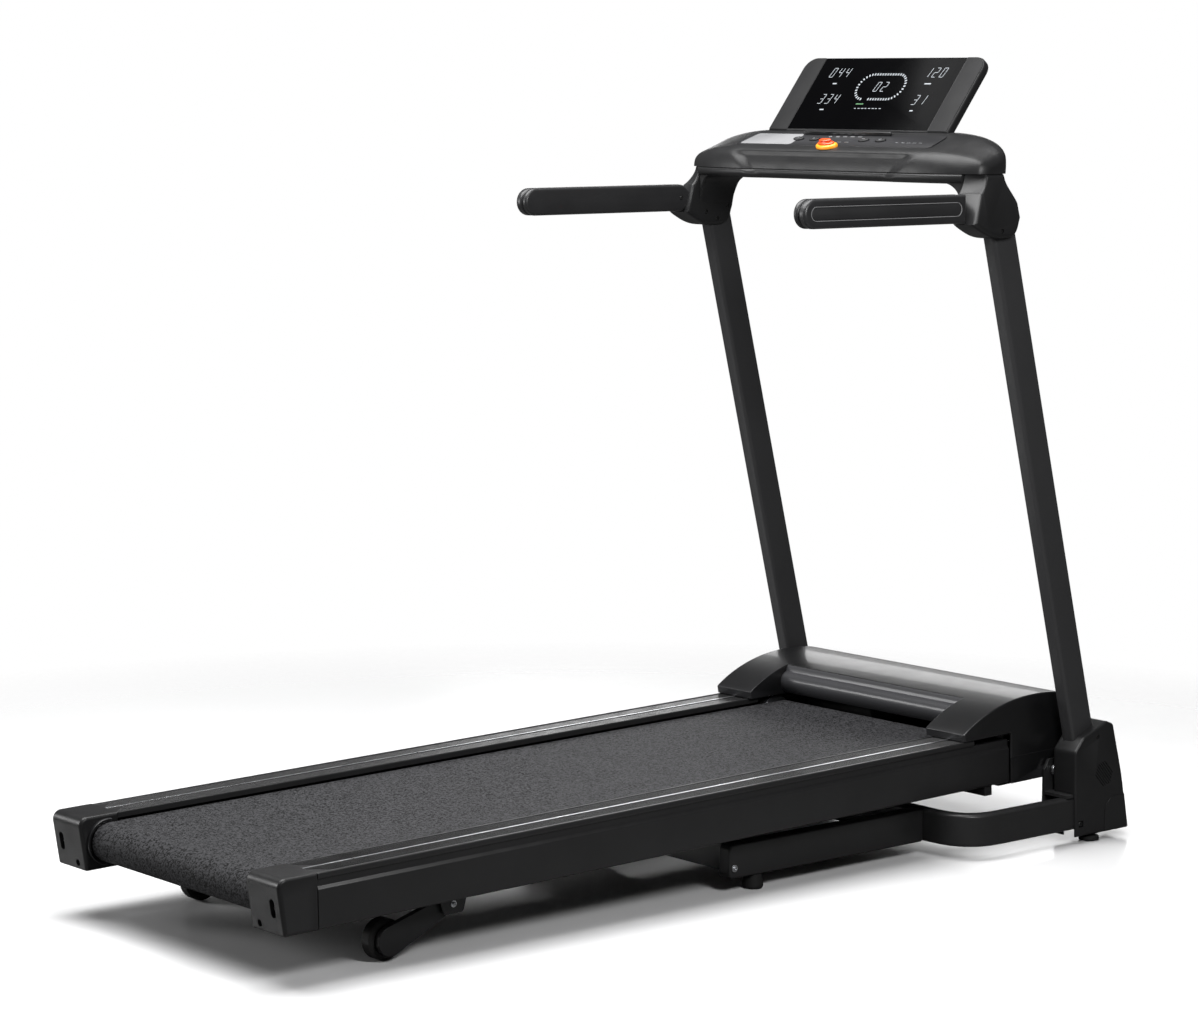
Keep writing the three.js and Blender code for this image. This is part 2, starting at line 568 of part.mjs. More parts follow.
function makeHood() {
  const half = HOOD.halfWidth;
  const inner = HOOD.armInner;
  const body = alongX(hoodOutline(0), -half, half, { curve: 8 });
  const mouth = box(-inner, inner, 1400, 1546, -60, 90);
  const nose = new THREE.Shape();
  nose.moveTo(1556, 3);
  nose.lineTo(1538, 3);
  nose.bezierCurveTo(1526, 14, 1526, 34, 1538, 41);
  nose.lineTo(1556, 42);
  const bar = alongX(nose, -inner - 2, inner + 2, { curve: 5 });
  const roof = outline([[1540, 38], [1548, 56], [1560, 52], [1560, 30]].reverse());
  const cavity = alongX(hoodOutline(HOOD.wall), -half + HOOD.wall, half - HOOD.wall, { curve: 8 });
  const mouthWall = box(-inner - 4, inner + 4, 1400, 1550, -60, 90);
  const lip = alongX(roof, -inner - 2, inner + 2);
  const solid = toSolid(body).subtract(toSolid(mouth)).add(toSolid(bar)).add(toSolid(lip));
  const hollow = toSolid(cavity).subtract(toSolid(mouthWall));
  const pivot = foldAxis();
  const spacerHole = disc(pivot.y, pivot.z, 14, -half - 1, half + 1);
  const skirts = [[-half, -half + HOOD.wall], [half - HOOD.wall, half]].map(
    ([a, b]) => box(a, b, HOOD.skirtRear, 1742, HOOD.skirtBottom, -43),
  );
  const shell = solid.subtract(hollow).add(toSolid(join(...skirts))).subtract(toSolid(spacerHole));
  addPart(deck, "motor_hood", toGeometry(shell), FINISH.gloss());
}

function makeLiftBar() {
  const top = -DECK.depth - GAP;
  const bottom = top - LIFT.depth;
  const bar = box(-LIFT.halfLength, LIFT.halfLength, LIFT.rear, LIFT.front, bottom, top);
  const arms = LIFT.armX.map((x) => box(x, x + LIFT.armWidth, LIFT.armRear, LIFT.rear + 2, bottom, top - 1));
  addPart(deck, "lift_bar", join(bar, ...arms), FINISH.paint());
}

// The gas strut lies along its own Y axis, from its base eye to its top eye, and is then set in place.
function makeStrut() {
  const s = STRUT;
  const length = Math.hypot(s.topY - s.baseY, s.topZ - s.baseZ);
  const angle = Math.atan2(s.topZ - s.baseZ, s.topY - s.baseY);
  const placed = (geometry) => geometry.rotateX(angle).translate(0, s.baseY, s.baseZ);
  const turned = (stations, segments) => new THREE.LatheGeometry(
    stations.map(([y, radius]) => new THREE.Vector2(radius, y)), segments,
  );
  const eye = (y) => turnedX([[-4, 10], [4, 10]], y, 0, 16);
  const pinHole = (y) => turnedX([[-9, 4], [9, 4]], y, 0, 12);
  const bore = s.rodRadius + GAP;
  const tube = turned([
    [6, 0], [6, 6], [22, 6], [22, s.tubeRadius], [s.tube, s.tubeRadius], [s.tube, bore], [40, bore], [40, 0],
  ], 16);
  addPart(model, "strut_cylinder", placed(cut(join(tube, eye(0)), pinHole(0))), FINISH.paint());
  const rod = turned([[42, 0], [42, s.rodRadius], [length - 6, s.rodRadius], [length - 6, 0]], 12);
  addPart(model, "strut_rod", placed(cut(join(rod, eye(length)), pinHole(length))), FINISH.steel());
}

function makeRearFeet() {
  const f = REAR_FOOT;
  const r = f.wheelRadius;
  const plate = loopShape({ y: f.wheelY, z: r, radius: 24 }, { y: f.pivotY, z: f.pivotZ, radius: 14 }, 0);
  const arm = alongX(plate, f.x - 6, f.x + 5, { curve: 10 });
  const axle = turnedX([[f.x - 34, 5], [f.x - 4, 5]], f.wheelY, r, 12);
  addPair(model, "rear_foot", join(arm, axle), FINISH.plastic);
  const [a, b] = [f.x - 32, f.x - 8];
  const bore = 5 + GAP;
  const profile = [[a, bore], [a, r - 3], [a + 3, r], [b - 3, r], [b, r - 3], [b, bore], [a, bore]]
    .map(([x, radius]) => new THREE.Vector2(radius, x));
  const wheel = new THREE.LatheGeometry(profile, 24).rotateZ(-Math.PI / 2).translate(0, f.wheelY, r);
  addPair(model, "rear_wheel", wheel, FINISH.rubber);
}

makeBaseTube();
makeBeams();
makeBaseFeet();
makePivots();
makeUprights();
makeFootCovers();
makeKnuckles();
makeHandlebars();
makeConsole();
makeDisplay();
makeControls();
makeRails();
makeEndCaps();
makeRunningGear();
makeMotorBay();
makeHood();
makeLiftBar();
makeStrut();
makeRearFeet();

// The origin is on the floor, under the middle of the object's length and width.
model.position.y = -(OVERALL.rear + OVERALL.front) / 2;
const treadmill = new THREE.Group();
treadmill.name = "treadmill";
treadmill.add(model);

export default treadmill;
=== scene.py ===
"""Finished looks of a folding home treadmill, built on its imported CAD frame.

Pieces are drawn in millimetres. In FLOOR space Y counts from the rear face of the deck and Z from
the floor. In DECK space Y runs up the slope of the deck and Z is measured from its top face.
"""
import json
import math
import bmesh
import bpy
from mathutils import Matrix, Vector

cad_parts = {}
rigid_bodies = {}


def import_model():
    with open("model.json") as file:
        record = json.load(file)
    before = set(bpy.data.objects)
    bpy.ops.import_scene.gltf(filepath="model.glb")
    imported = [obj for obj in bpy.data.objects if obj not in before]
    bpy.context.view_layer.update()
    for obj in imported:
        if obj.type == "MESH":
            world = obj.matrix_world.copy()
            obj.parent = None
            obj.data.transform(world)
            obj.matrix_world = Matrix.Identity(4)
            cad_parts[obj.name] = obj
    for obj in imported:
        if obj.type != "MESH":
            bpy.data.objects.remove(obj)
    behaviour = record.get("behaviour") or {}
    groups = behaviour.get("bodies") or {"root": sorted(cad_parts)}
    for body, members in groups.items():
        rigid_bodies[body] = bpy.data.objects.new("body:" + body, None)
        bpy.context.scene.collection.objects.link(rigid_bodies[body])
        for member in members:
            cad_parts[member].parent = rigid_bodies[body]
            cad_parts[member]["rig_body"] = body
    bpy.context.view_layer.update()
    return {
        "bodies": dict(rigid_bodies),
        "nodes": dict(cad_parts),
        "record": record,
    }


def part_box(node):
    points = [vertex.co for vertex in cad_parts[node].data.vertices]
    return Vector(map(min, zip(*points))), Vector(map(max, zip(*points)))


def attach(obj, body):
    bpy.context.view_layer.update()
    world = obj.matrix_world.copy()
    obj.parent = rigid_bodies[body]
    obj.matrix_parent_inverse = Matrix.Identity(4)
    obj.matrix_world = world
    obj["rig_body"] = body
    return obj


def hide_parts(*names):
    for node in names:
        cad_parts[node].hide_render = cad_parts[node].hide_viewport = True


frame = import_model()

MM = 0.001
BEAM_REAR = 936.0  # where the base beams start, in FLOOR space
MIDDLE = BEAM_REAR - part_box("base_beam_right")[0].y / MM
DECK_SLOPE = math.radians(1.08)
DECK_HEIGHT = 171.5
LEAN = math.tan(math.radians(13.87))  # the uprights' lean from the vertical
UPRIGHT_X = 363.3  # the middle of an upright tube
UPRIGHT_HALF = 14.8  # half the tube's width
UPRIGHT_DEPTH = 56.7  # the depth of a level cut through the leaning tube
UPRIGHT_FOOT = 1718.0  # Y of the tube's rear face, carried on down to the floor
CONSOLE_Y = 1462.0  # the line the console's ends are drawn in towards
CONSOLE_SEAM = 1190.3  # height of the joint between its two shells
PANEL_TILT = math.atan2(27, 70)  # the slope of the console's top face
PANEL_Y = 1446.0  # the row of keys on that face
CORNER_STEPS = 8  # facets in each rounded corner of a pillow

FLOOR = Matrix.Scale(MM, 4) @ Matrix.Translation((0, -MIDDLE, 0))
DECK = (
    Matrix.Scale(MM, 4)
    @ Matrix.Translation((0, -MIDDLE, DECK_HEIGHT))
    @ Matrix.Rotation(DECK_SLOPE, 4, "X")
)


# ---------------------------------------------------------------- materials
NOISE = "ShaderNodeTexNoise"


def new_material(name):
    material = bpy.data.materials.new(name)
    material.use_nodes = True
    tree = material.node_tree
    return material, tree.nodes, tree.links, tree.nodes["Principled BSDF"]


def texture(nodes, links, kind, scale, detail=2.0):
    """A noise or cell texture that stays fixed to its piece."""
    place = nodes.new("ShaderNodeTexCoord")
    pattern = nodes.new(kind)
    pattern.inputs["Scale"].default_value = scale
    pattern.inputs["Detail"].default_value = detail
    links.new(place.outputs["Object"], pattern.inputs["Vector"])
    return pattern


def spread(nodes, links, source, low, high, start=0.3, end=0.7):
    """Maps a 0 to 1 pattern onto the range low to high."""
    ranger = nodes.new("ShaderNodeMapRange")
    ranger.inputs["From Min"].default_value = start
    ranger.inputs["From Max"].default_value = end
    ranger.inputs["To Min"].default_value = low
    ranger.inputs["To Max"].default_value = high
    links.new(source, ranger.inputs["Value"])
    return ranger.outputs["Result"]


def two_tone(nodes, links, factor, dark, light):
    ramp = nodes.new("ShaderNodeValToRGB")
    ramp.color_ramp.elements[0].color = (*dark, 1)
    ramp.color_ramp.elements[1].color = (*light, 1)
    links.new(factor, ramp.inputs["Fac"])
    return ramp


def shaded(colour, factor):
    return tuple(min(1.0, part * factor) for part in colour)


def moulded(name, colour, rough, metal=0.0, grain=1400.0, bump=0.12, mottle=0.12, level=0.5,
            coat=0.0, wear_and_highlight=1.6, shift=0.05):
    """A finish with slow mottling, fine grain and lighter edges, which are partly wear and partly painted
    highlight.
    """
    material, nodes, links, shader = new_material(name)
    slow = texture(nodes, links, NOISE, 9.0, 4.0).outputs["Fac"]
    fine = texture(nodes, links, NOISE, grain, 3.0).outputs["Fac"]
    body = two_tone(nodes, links, slow, shaded(colour, 1 - mottle), shaded(colour, 1 + mottle))
    body.color_ramp.elements[0].position = 0.35
    body.color_ramp.elements[1].position = 0.65

    # Sharp edges get a lighter colour: partly edge wear, partly a painted highlight along the edges.
    edge = nodes.new("ShaderNodeNewGeometry")
    worn_and_lit_edges = spread(nodes, links, edge.outputs["Pointiness"], 0.0, 1.0, 0.52, 0.62)
    tint = nodes.new("ShaderNodeMix")
    tint.data_type = "RGBA"
    tint.inputs[7].default_value = (*shaded(colour, wear_and_highlight), 1)
    links.new(worn_and_lit_edges, tint.inputs[0])
    links.new(body.outputs["Color"], tint.inputs[6])
    links.new(tint.outputs[2], shader.inputs["Base Color"])

    patchy = texture(nodes, links, NOISE, 26.0, 5.0).outputs["Fac"]
    links.new(spread(nodes, links, patchy, rough - shift, rough + shift), shader.inputs["Roughness"])
    relief = nodes.new("ShaderNodeBump")
    relief.inputs["Strength"].default_value = bump
    relief.inputs["Distance"].default_value = 0.0003
    links.new(fine, relief.inputs["Height"])
    links.new(relief.outputs["Normal"], shader.inputs["Normal"])
    shader.inputs["Metallic"].default_value = metal
    shader.inputs["Specular IOR Level"].default_value = level
    shader.inputs["Coat Weight"].default_value = coat
    shader.inputs["Coat Roughness"].default_value = 0.08
    return material


def belt_finish():
    """Black rubber belt with a pressed pebble grain that catches the light in specks."""
    material, nodes, links, shader = new_material("running_belt")
    cells = texture(nodes, links, "ShaderNodeTexVoronoi", 360.0)
    fine = texture(nodes, links, NOISE, 900.0, 2.0).outputs["Fac"]
    split = nodes.new("ShaderNodeSeparateColor")
    links.new(cells.outputs["Color"], split.inputs["Color"])
    dark, light = (0.001, 0.001, 0.0012), (0.046, 0.046, 0.049)
    specks = two_tone(nodes, links, split.outputs["Red"], dark, light)
    specks.color_ramp.elements[0].position = 0.55
    specks.color_ramp.elements[1].position = 0.95
    links.new(specks.outputs["Color"], shader.inputs["Base Color"])
    links.new(spread(nodes, links, fine, 0.5, 0.8), shader.inputs["Roughness"])
    relief = nodes.new("ShaderNodeBump")
    relief.inputs["Strength"].default_value = 0.85
    relief.inputs["Distance"].default_value = 0.0006
    relief.invert = True
    links.new(cells.outputs["Distance"], relief.inputs["Height"])
    links.new(relief.outputs["Normal"], shader.inputs["Normal"])
    shader.inputs["Specular IOR Level"].default_value = 0.14
    return material


def glowing(name, colour, strength):
    """Lit segments of the display, a little uneven as real ones are."""
    material, nodes, links, shader = new_material(name)
    uneven = texture(nodes, links, NOISE, 60.0).outputs["Fac"]
    tone = two_tone(nodes, links, uneven, shaded(colour, 0.86), colour)
    links.new(tone.outputs["Color"], shader.inputs["Emission Color"])
    shader.inputs["Base Color"].default_value = (0.02, 0.02, 0.02, 1)
    shader.inputs["Emission Strength"].default_value = strength
    return material


DARK = (0.014, 0.014, 0.0145)
FINISH = {"running_belt": belt_finish()}
for slot_name, look in {
    "frame_paint": dict(colour=(0.016, 0.016, 0.0165), rough=0.36, grain=1100, bump=0.16, level=0.34),
    "black_plastic": dict(colour=DARK, rough=0.38, grain=1700, bump=0.22, level=0.28),
    "grip_plastic": dict(colour=(0.020, 0.020, 0.021), rough=0.36, grain=2000, bump=0.25, level=0.45),
    "rail_plastic": dict(colour=DARK, rough=0.36, grain=1500, bump=0.15, level=0.38),
    # gloss_black's edge factor of 9 paints pale highlight lines along the edges of the hood and its arms.
    "gloss_black": dict(colour=(0.006, 0.006, 0.0065), rough=0.38, grain=700, bump=0.04, level=0.3,
                        coat=0.2, wear_and_highlight=9, shift=0.02),
    "grey_plastic": dict(colour=(0.024, 0.024, 0.025), rough=0.42, grain=1800, bump=0.15, level=0.3),
    "display_glass": dict(colour=(0.0012, 0.0012, 0.0014), rough=0.2, grain=200, bump=0.01,
                          level=0.02, shift=0.03),
    "foot_rubber": dict(colour=(0.010, 0.010, 0.010), rough=0.70, grain=1300, bump=0.3, level=0.3),
    "wheel_tyre": dict(colour=(0.012, 0.012, 0.012), rough=0.55, grain=1300, bump=0.25, level=0.4),
    "steel": dict(colour=(0.52, 0.53, 0.55), rough=0.28, metal=1.0, grain=500, bump=0.08, wear_and_highlight=1.2),
    "aluminium": dict(colour=(0.66, 0.67, 0.69), rough=0.30, metal=1.0, grain=700, bump=0.08, wear_and_highlight=1.2),
    "board": dict(colour=(0.022, 0.019, 0.017), rough=0.60, grain=420, bump=0.2, mottle=0.3),
    "red_plastic": dict(colour=(0.80, 0.075, 0.012), rough=0.28, grain=900, bump=0.06, wear_and_highlight=1.1),
    "orange_plastic": dict(colour=(0.95, 0.33, 0.02), rough=0.30, grain=900, bump=0.06, wear_and_highlight=1.1),
}.items():
    FINISH[slot_name] = moulded(slot_name, **look)
# A lighter copy of frame_paint for the uprights: painted light, since they stand higher in the light than
# the base beams in the same paint.
UPRIGHT_LIT_COPY = moulded("upright_lit_copy", (0.027, 0.027, 0.028), 0.36, grain=1100, bump=0.16,
                        level=0.34)
BEZEL = moulded("bezel", DARK, 0.56, grain=1700, bump=0.15, level=0.12)
# A pale grey that stands in for light: the painted reflection on the panel's left and the painted
# highlight lines on the handles.
PAINTED_HIGHLIGHT_GREY = moulded("painted_highlight_grey", (0.24, 0.24, 0.245), 0.22, grain=900, bump=0.05, wear_and_highlight=1.2)
WHITE_LIGHT = glowing("white_segments", (0.86, 0.93, 1.0), 0.85)
GREEN_LIGHT = glowing("green_segments", (0.10, 0.75, 0.16), 0.4)


# ---------------------------------------------------------------- mesh helpers
def rounded(corners, steps=6):
    """An outline from corners (a, b, radius), each rounded to its radius."""
    points = []
    for i, (a, b, radius) in enumerate(corners):
        here = Vector((a, b))
        if radius == 0:
            points.append(here)
            continue
        u = (Vector(corners[i - 1][:2]) - here).normalized()
        v = (Vector(corners[(i + 1) % len(corners)][:2]) - here).normalized()
        half = u.angle(v) / 2
        centre = here + (u + v).normalized() * radius / math.sin(half)
        start = here + u * radius / math.tan(half) - centre
        end = here + v * radius / math.tan(half) - centre
        turn = start.angle_signed(end)
        for k in range(steps + 1):
            points.append(centre + Matrix.Rotation(-turn * k / steps, 2) @ start)
    return points


def arc(a, b, radius, start, end, steps=12):
    """Points on an arc about (a, b), from start to end degrees."""
    angles = [math.radians(start + (end - start) * k / steps) for k in range(steps + 1)]
    return [Vector((a + radius * math.cos(t), b + radius * math.sin(t))) for t in angles]


def bezier(p, q, r, s, steps=16):
    """Points on a cubic Bezier curve, without its last one."""
    curve = []
    for k in range(steps):
        t = k / steps
        weights = ((1 - t) ** 3, 3 * t * (1 - t) ** 2, 3 * t * t * (1 - t), t ** 3)
        curve.append(sum((Vector(c) * w for c, w in zip((p, q, r, s), weights)), Vector((0, 0))))
    return curve


def loft(rings, capped=True):
    """Skins a row of rings of 3-D points. The first and last ring are filled if capped."""
    bm = bmesh.new()
    rows = [[bm.verts.new(point) for point in ring] for ring in rings]
    count = len(rows[0])
    for near, far in zip(rows, rows[1:]):
        for i in range(count):
            j = (i + 1) % count
            bm.faces.new((near[i], near[j], far[j], far[i]))
    if capped:
        bm.faces.new(rows[0])
        bm.faces.new(rows[-1])
    return bm


def along_x(outline, x0, x1):
    """An outline in (Y, Z), extruded along X."""
    return loft([[(x, a, b) for a, b in outline] for x in (x0, x1)])


def along_y(outline, y0, y1):
    """An outline in (X, Z), extruded along Y."""
    return loft([[(a, y, b) for a, b in outline] for y in (y0, y1)])


def along_z(outline, z0, z1):
    """An outline in (X, Y), extruded along Z."""
    return loft([[(a, b, z) for a, b in outline] for z in (z0, z1)])


def block(x0, x1, y0, y1, z0, z1):
    return along_x([(y0, z0), (y1, z0), (y1, z1), (y0, z1)], x0, x1)


def turned(stations, centre, axis="X", steps=48, hollow=False):
    """A turned piece from [distance along the axis, radius] stations about centre."""
    rings = []
    for distance, radius in stations:
        ring = []
        for k in range(steps):
            angle = 2 * math.pi * k / steps
            a, b = radius * math.cos(angle), radius * math.sin(angle)
            offset = {"X": (distance, a, b), "Y": (b, distance, a), "Z": (a, b, distance)}[axis]
            ring.append(Vector(centre) + Vector(offset))
        rings.append(ring)
    if hollow:
        rings.append(rings[0])
    return loft(rings, capped=not hollow)


def ellipse(a, b, half_a, half_b):
    steps = 40
    angles = [2 * math.pi * k / steps for k in range(steps)]
    return [Vector((a + half_a * math.cos(t), b + half_b * math.sin(t))) for t in angles]


def stadium(a0, a1, b, radius, steps=12):
    """A racetrack outline along the first axis."""
    right = arc(a1 - radius, b, radius, -90, 90, steps)
    return right + arc(a0 + radius, b, radius, 90, 270, steps)


def merge(first, *others):
    """Puts several meshes into one."""
    for other in others:
        spare = bpy.data.meshes.new("spare")
        other.to_mesh(spare)
        other.free()
        first.from_mesh(spare)
        bpy.data.meshes.remove(spare)
    return first


def moved(bm, matrix):
    bm.transform(matrix)
    return bm


def flipped(bm):
    """The same mesh on the other side of the X = 0 plane."""
    copy = bm.copy()
    copy.transform(Matrix.Scale(-1, 4, (1, 0, 0)))
    bmesh.ops.reverse_faces(copy, faces=copy.faces)
    return copy


def face_out(bm):
    """Turns every face of a closed mesh outwards."""
    bm.normal_update()
    bmesh.ops.recalc_face_normals(bm, faces=bm.faces)
    if bm.calc_volume(signed=True) < 0:
        bmesh.ops.reverse_faces(bm, faces=bm.faces)


def loose_object(bm):
    bmesh.ops.remove_doubles(bm, verts=bm.verts, dist=1e-4)
    face_out(bm)
    mesh = bpy.data.meshes.new("loose")
    bm.to_mesh(mesh)
    bm.free()
    loose = bpy.data.objects.new("loose", mesh)
    bpy.context.scene.collection.objects.link(loose)
    return loose


def carved(bm, *tools, operation="DIFFERENCE"):
    """Cuts the tools out of the mesh, or joins them to it, and returns the new mesh."""
    loose = [loose_object(part) for part in (bm, *tools)]
    for tool in loose[1:]:
        modifier = loose[0].modifiers.new("carve", "BOOLEAN")
        modifier.operation = operation
        modifier.solver = "EXACT"
        modifier.object = tool
    result = bmesh.new()
    result.from_object(loose[0], bpy.context.evaluated_depsgraph_get())
    for part in loose:
        mesh = part.data
        bpy.data.objects.remove(part)
        bpy.data.meshes.remove(mesh)
    bmesh.ops.remove_doubles(result, verts=result.verts, dist=1e-3)
    bmesh.ops.dissolve_limit(
        result, angle_limit=math.radians(0.5), verts=result.verts, edges=result.edges
    )
    return result


# ---------------------------------------------------------------- pieces
def soften(piece, width, steps, angle):
    bevel = piece.modifiers.new("rounded_edges", "BEVEL")
    bevel.width = width * MM
    bevel.segments = steps
    bevel.limit_method = "ANGLE"
    bevel.angle_limit = math.radians(angle)
    bevel.miter_outer = "MITER_ARC"
    normals = piece.modifiers.new("even_shading", "WEIGHTED_NORMAL")
    normals.keep_sharp = True


def make(name, bm, body, slot, instead=(), space=FLOOR, edge=0.0, steps=3, angle=32,
         material=None):
    """Turns a mesh into a finished piece that rides on a body and stands for CAD nodes."""
    face_out(bm)
    mesh = bpy.data.meshes.new(name)
    bm.to_mesh(mesh)
    bm.free()
    mesh.transform(space)
    mesh.polygons.foreach_set("use_smooth", [True] * len(mesh.polygons))
    piece = bpy.data.objects.new(name, mesh)
    bpy.context.scene.collection.objects.link(piece)
    if edge:
        soften(piece, edge, steps, angle)
    else:
        mesh.set_sharp_from_angle(angle=math.radians(angle))
    mesh.materials.append(material or FINISH[slot])
    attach(piece, body)
    if instead:
        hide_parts(*instead)
    return piece


def make_pair(name, bm, body, slot, instead=(), **options):
    """The piece at +X and its mirror image at -X; names of bodies and nodes get their side."""
    for side, shape in (("left", flipped(bm)), ("right", bm)):
        own = f"{body}_{side}" if f"{body}_{side}" in frame["bodies"] else body
        nodes = [f"{node}_{side}" for node in instead]
        make(f"{name}_{side}", shape, own, slot, nodes, **options)


SLOTS = {part["node"]: part["material_slot"] for part in frame["record"]["subparts"]}


def polish(node, edge=1.0, steps=3, angle=32):
    """A copy of a CAD node with clean flat faces, rounded edges and its real finish."""
    source = frame["nodes"][node]
    bm = bmesh.new()
    bm.from_mesh(source.data)
    bmesh.ops.remove_doubles(bm, verts=bm.verts, dist=2e-6)
    bmesh.ops.dissolve_limit(
        bm, angle_limit=math.radians(0.5), verts=bm.verts, edges=bm.edges
    )
    make(f"{node}_finished", bm, source["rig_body"], SLOTS[node], [node],
         space=Matrix.Identity(4), edge=edge, steps=steps, angle=angle)


def inset(outline, amount):
    """The outline pulled in by an amount all round."""
    points = [Vector(point) for point in outline]
    area = sum(points[i - 1].x * p.y - p.x * points[i - 1].y for i, p in enumerate(points))
    pull = math.copysign(amount, area)
    result = []
    for i, point in enumerate(points):
        before = (point - points[i - 1]).normalized()
        after = (points[(i + 1) % len(points)] - point).normalized()
        across = Vector((-(before + after).y, (before + after).x)).normalized()
        reach = max(0.6, across.dot(Vector((-before.y, before.x))))
        result.append(point + across * pull / reach)
    return result


def inset_corners(corners, amount):
    """Corners (a, b, radius) of the same outline pulled in by an amount."""
    flat = [Vector(corner[:2]) for corner in corners]
    turns = [(p - flat[i - 1]).cross(flat[(i + 1) % len(flat)] - p) for i, p in enumerate(flat)]
    way = math.copysign(1, sum(p.cross(flat[(i + 1) % len(flat)]) for i, p in enumerate(flat)))
    result = []
    for point, turn, (_, _, radius) in zip(inset(flat, amount), turns, corners):
        result.append((point.x, point.y, max(0.05, radius - math.copysign(amount, turn * way))))
    return result


def pulled_in(shape, amount):
    """An outline, or one given by its rounded corners, pulled in by an amount."""
    if len(shape[0]) == 3:
        return rounded(inset_corners(shape, amount), CORNER_STEPS)
    return inset(shape, amount)


def pillow(shape, start, end, radius, axis="X", steps=5):
    """An outline, or rounded corners, extruded along an axis, with both rims rounded."""
    rings = []
    for side, place in ((1, start), (-1, end)):
        for k in range(steps + 1):
            angle = (k if side == 1 else steps - k) / steps * math.pi / 2
            at = place + side * radius * (1 - math.cos(angle))
            ring = pulled_in(shape, radius * (1 - math.sin(angle)))
            rings.append([{"X": (at, a, b), "Y": (a, at, b), "Z": (a, b, at)}[axis] for a, b in ring])
    return loft(rings)


def bolt(centre, axis="X", size=7.0, washer=True, recess=2.4):
    """A domed bolt head with a round recess; its axis sign gives the way it faces."""
    facing = -1 if axis.startswith("-") else 1
    line = axis[-1]
    top = 4.4
    steps = [(-1, size * 1.5), (1, size * 1.5)] if washer else [(-1, size)]
    steps += [(1, size), (3, size), (top, size * 0.72), (top, size * 0.5), (top - recess, size * 0.46)]
    return turned([(facing * d, r) for d, r in steps], centre, line, 36)


def smooth(value, low, high):
    """Rises from 0 at low to 1 at high, with a soft start and end."""
    t = min(1.0, max(0.0, (value - low) / (high - low)))
    return t * t * (3 - 2 * t)


# ---------------------------------------------------------------- base and uprights
def upright_y(z):
    """Y of the rear face of an upright at a height."""
    return UPRIGHT_FOOT - z * LEAN


def upright_section(grow, bottom, top):
    """A length of upright between two heights, made larger all round by grow."""
    half, rear, front = UPRIGHT_HALF + grow, -grow, UPRIGHT_DEPTH + grow
    outline = rounded([(-half, rear, 7), (half, rear, 7), (half, front, 7), (-half, front, 7)])
    return loft([[(UPRIGHT_X + a, upright_y(z) + b, z) for a, b in outline] for z in (bottom, top)])


def make_base():
    for node, edge in (("base_u_tube", 7), ("base_cross_tube", 2.5)):
        polish(node, edge, 4, 45)
    for side in ("right", "left"):
        polish(f"base_beam_{side}", 3.5, 4)
        polish(f"pivot_bracket_{side}", 1)
        polish(f"fold_pin_{side}", 0.8)
    # The uprights take the lighter copy of frame_paint, which paints in the light they get.
    make_pair("upright_tube", upright_section(0, 84, 1165), "frame", "frame_paint", ["upright"],
              material=UPRIGHT_LIT_COPY)
    beam_foot = (268, BEAM_REAR + 67, 0)
    pad = [(0.5, 15), (0, 16), (0, 16.5), (4, 18), (6, 17.6), (24.7, 14.6)]
    make_pair("beam_foot", turned(pad, beam_foot, "Z"), "frame", "foot_rubber", ["base_foot"])
    leveller = (381, 1713, 0)
    disc = [(0, 16), (1, 18), (7, 18), (8.5, 16), (9, 6), (24.7, 6)]
    make_pair("levelling_foot", turned(disc, leveller, "Z"), "leveling_foot", "foot_rubber",
              ["leveling_foot"])
    beam_bolt = (284.6, BEAM_REAR + 11, 43)
    make_pair("beam_bolt", bolt(beam_bolt, "X", 3.9), "frame", "steel")


def cover_grooves():
    """Slanted grooves in the outer side of a foot cover, the longest in the middle."""
    count, pitch = 8, 4.6
    slant = Matrix.Rotation(math.radians(-47), 2)
    grooves = []
    for i in range(count):
        row = i - (count - 1) / 2
        long = 25 - abs(row) * 2.4
        shape = stadium(-long, long, 0, 1.1, 6)
        centre = Vector((1734 + row * pitch * 0.73, 119 + row * pitch * 0.68))
        grooves.append(along_x([slant @ p + centre for p in shape], 394.4, 398))
    return grooves


def make_foot_covers():
    side = [(1663, 12, 2), (1659, 166, 12), (1681, 191, 16), (1740, 214, 9), (1758, 207, 9),
            (1783, 114, 70), (1803, 12, 3)]
    shell = pillow(side, 341, 396, 5)
    step = [Vector((1737, 15))] + arc(1765, 48, 28, 180, 90, 10)
    step += [Vector((1788, 76)), Vector((1799, 15))]
    shell = carved(shell, pillow(step, 390, 397.2, 1.0, steps=2), operation="UNION")
    room = [(1667, 8), (1664, 165), (1684, 186), (1740, 209), (1752, 204), (1779, 112), (1799, 8)]
    shell = carved(
        shell, along_x(room, 344, 392.6), block(364, 391.5, 1640, 1680, 8, 90),
        block(320, 391.5, 1640, 1691, 82, 90), upright_section(0.6, 140, 260), *cover_grooves(),
        turned([(388, 4.2), (399, 4.2)], (0, 1716, 188)), block(390, 399, 1670, 1682, 29, 41),
    )
    make_pair("foot_shell", shell, "frame", "black_plastic", ["foot_cover"], edge=0.7, steps=2)
    screws = merge(bolt((391, 1716, 188), "X", 3.6, False), bolt((391, 1676, 35), "X", 4.5, False))
    make_pair("foot_shell_screws", screws, "frame", "wheel_tyre")


def make_front_wheels():
    hub = (368, 1763, 35)
    tread = [(-9, 5), (-9, 20), (-7.5, 24), (-5, 26), (-1.5, 26), (-1, 25), (1, 25), (1.5, 26),
             (5, 26), (7.5, 24), (9, 20), (9, 5)]
    wheel = merge(turned(tread, hub), turned([(-13, 5), (-12.5, 5), (13, 5)], hub))
    make_pair("front_wheel", wheel, "transport_wheel", "wheel_tyre", ["transport_wheel"])


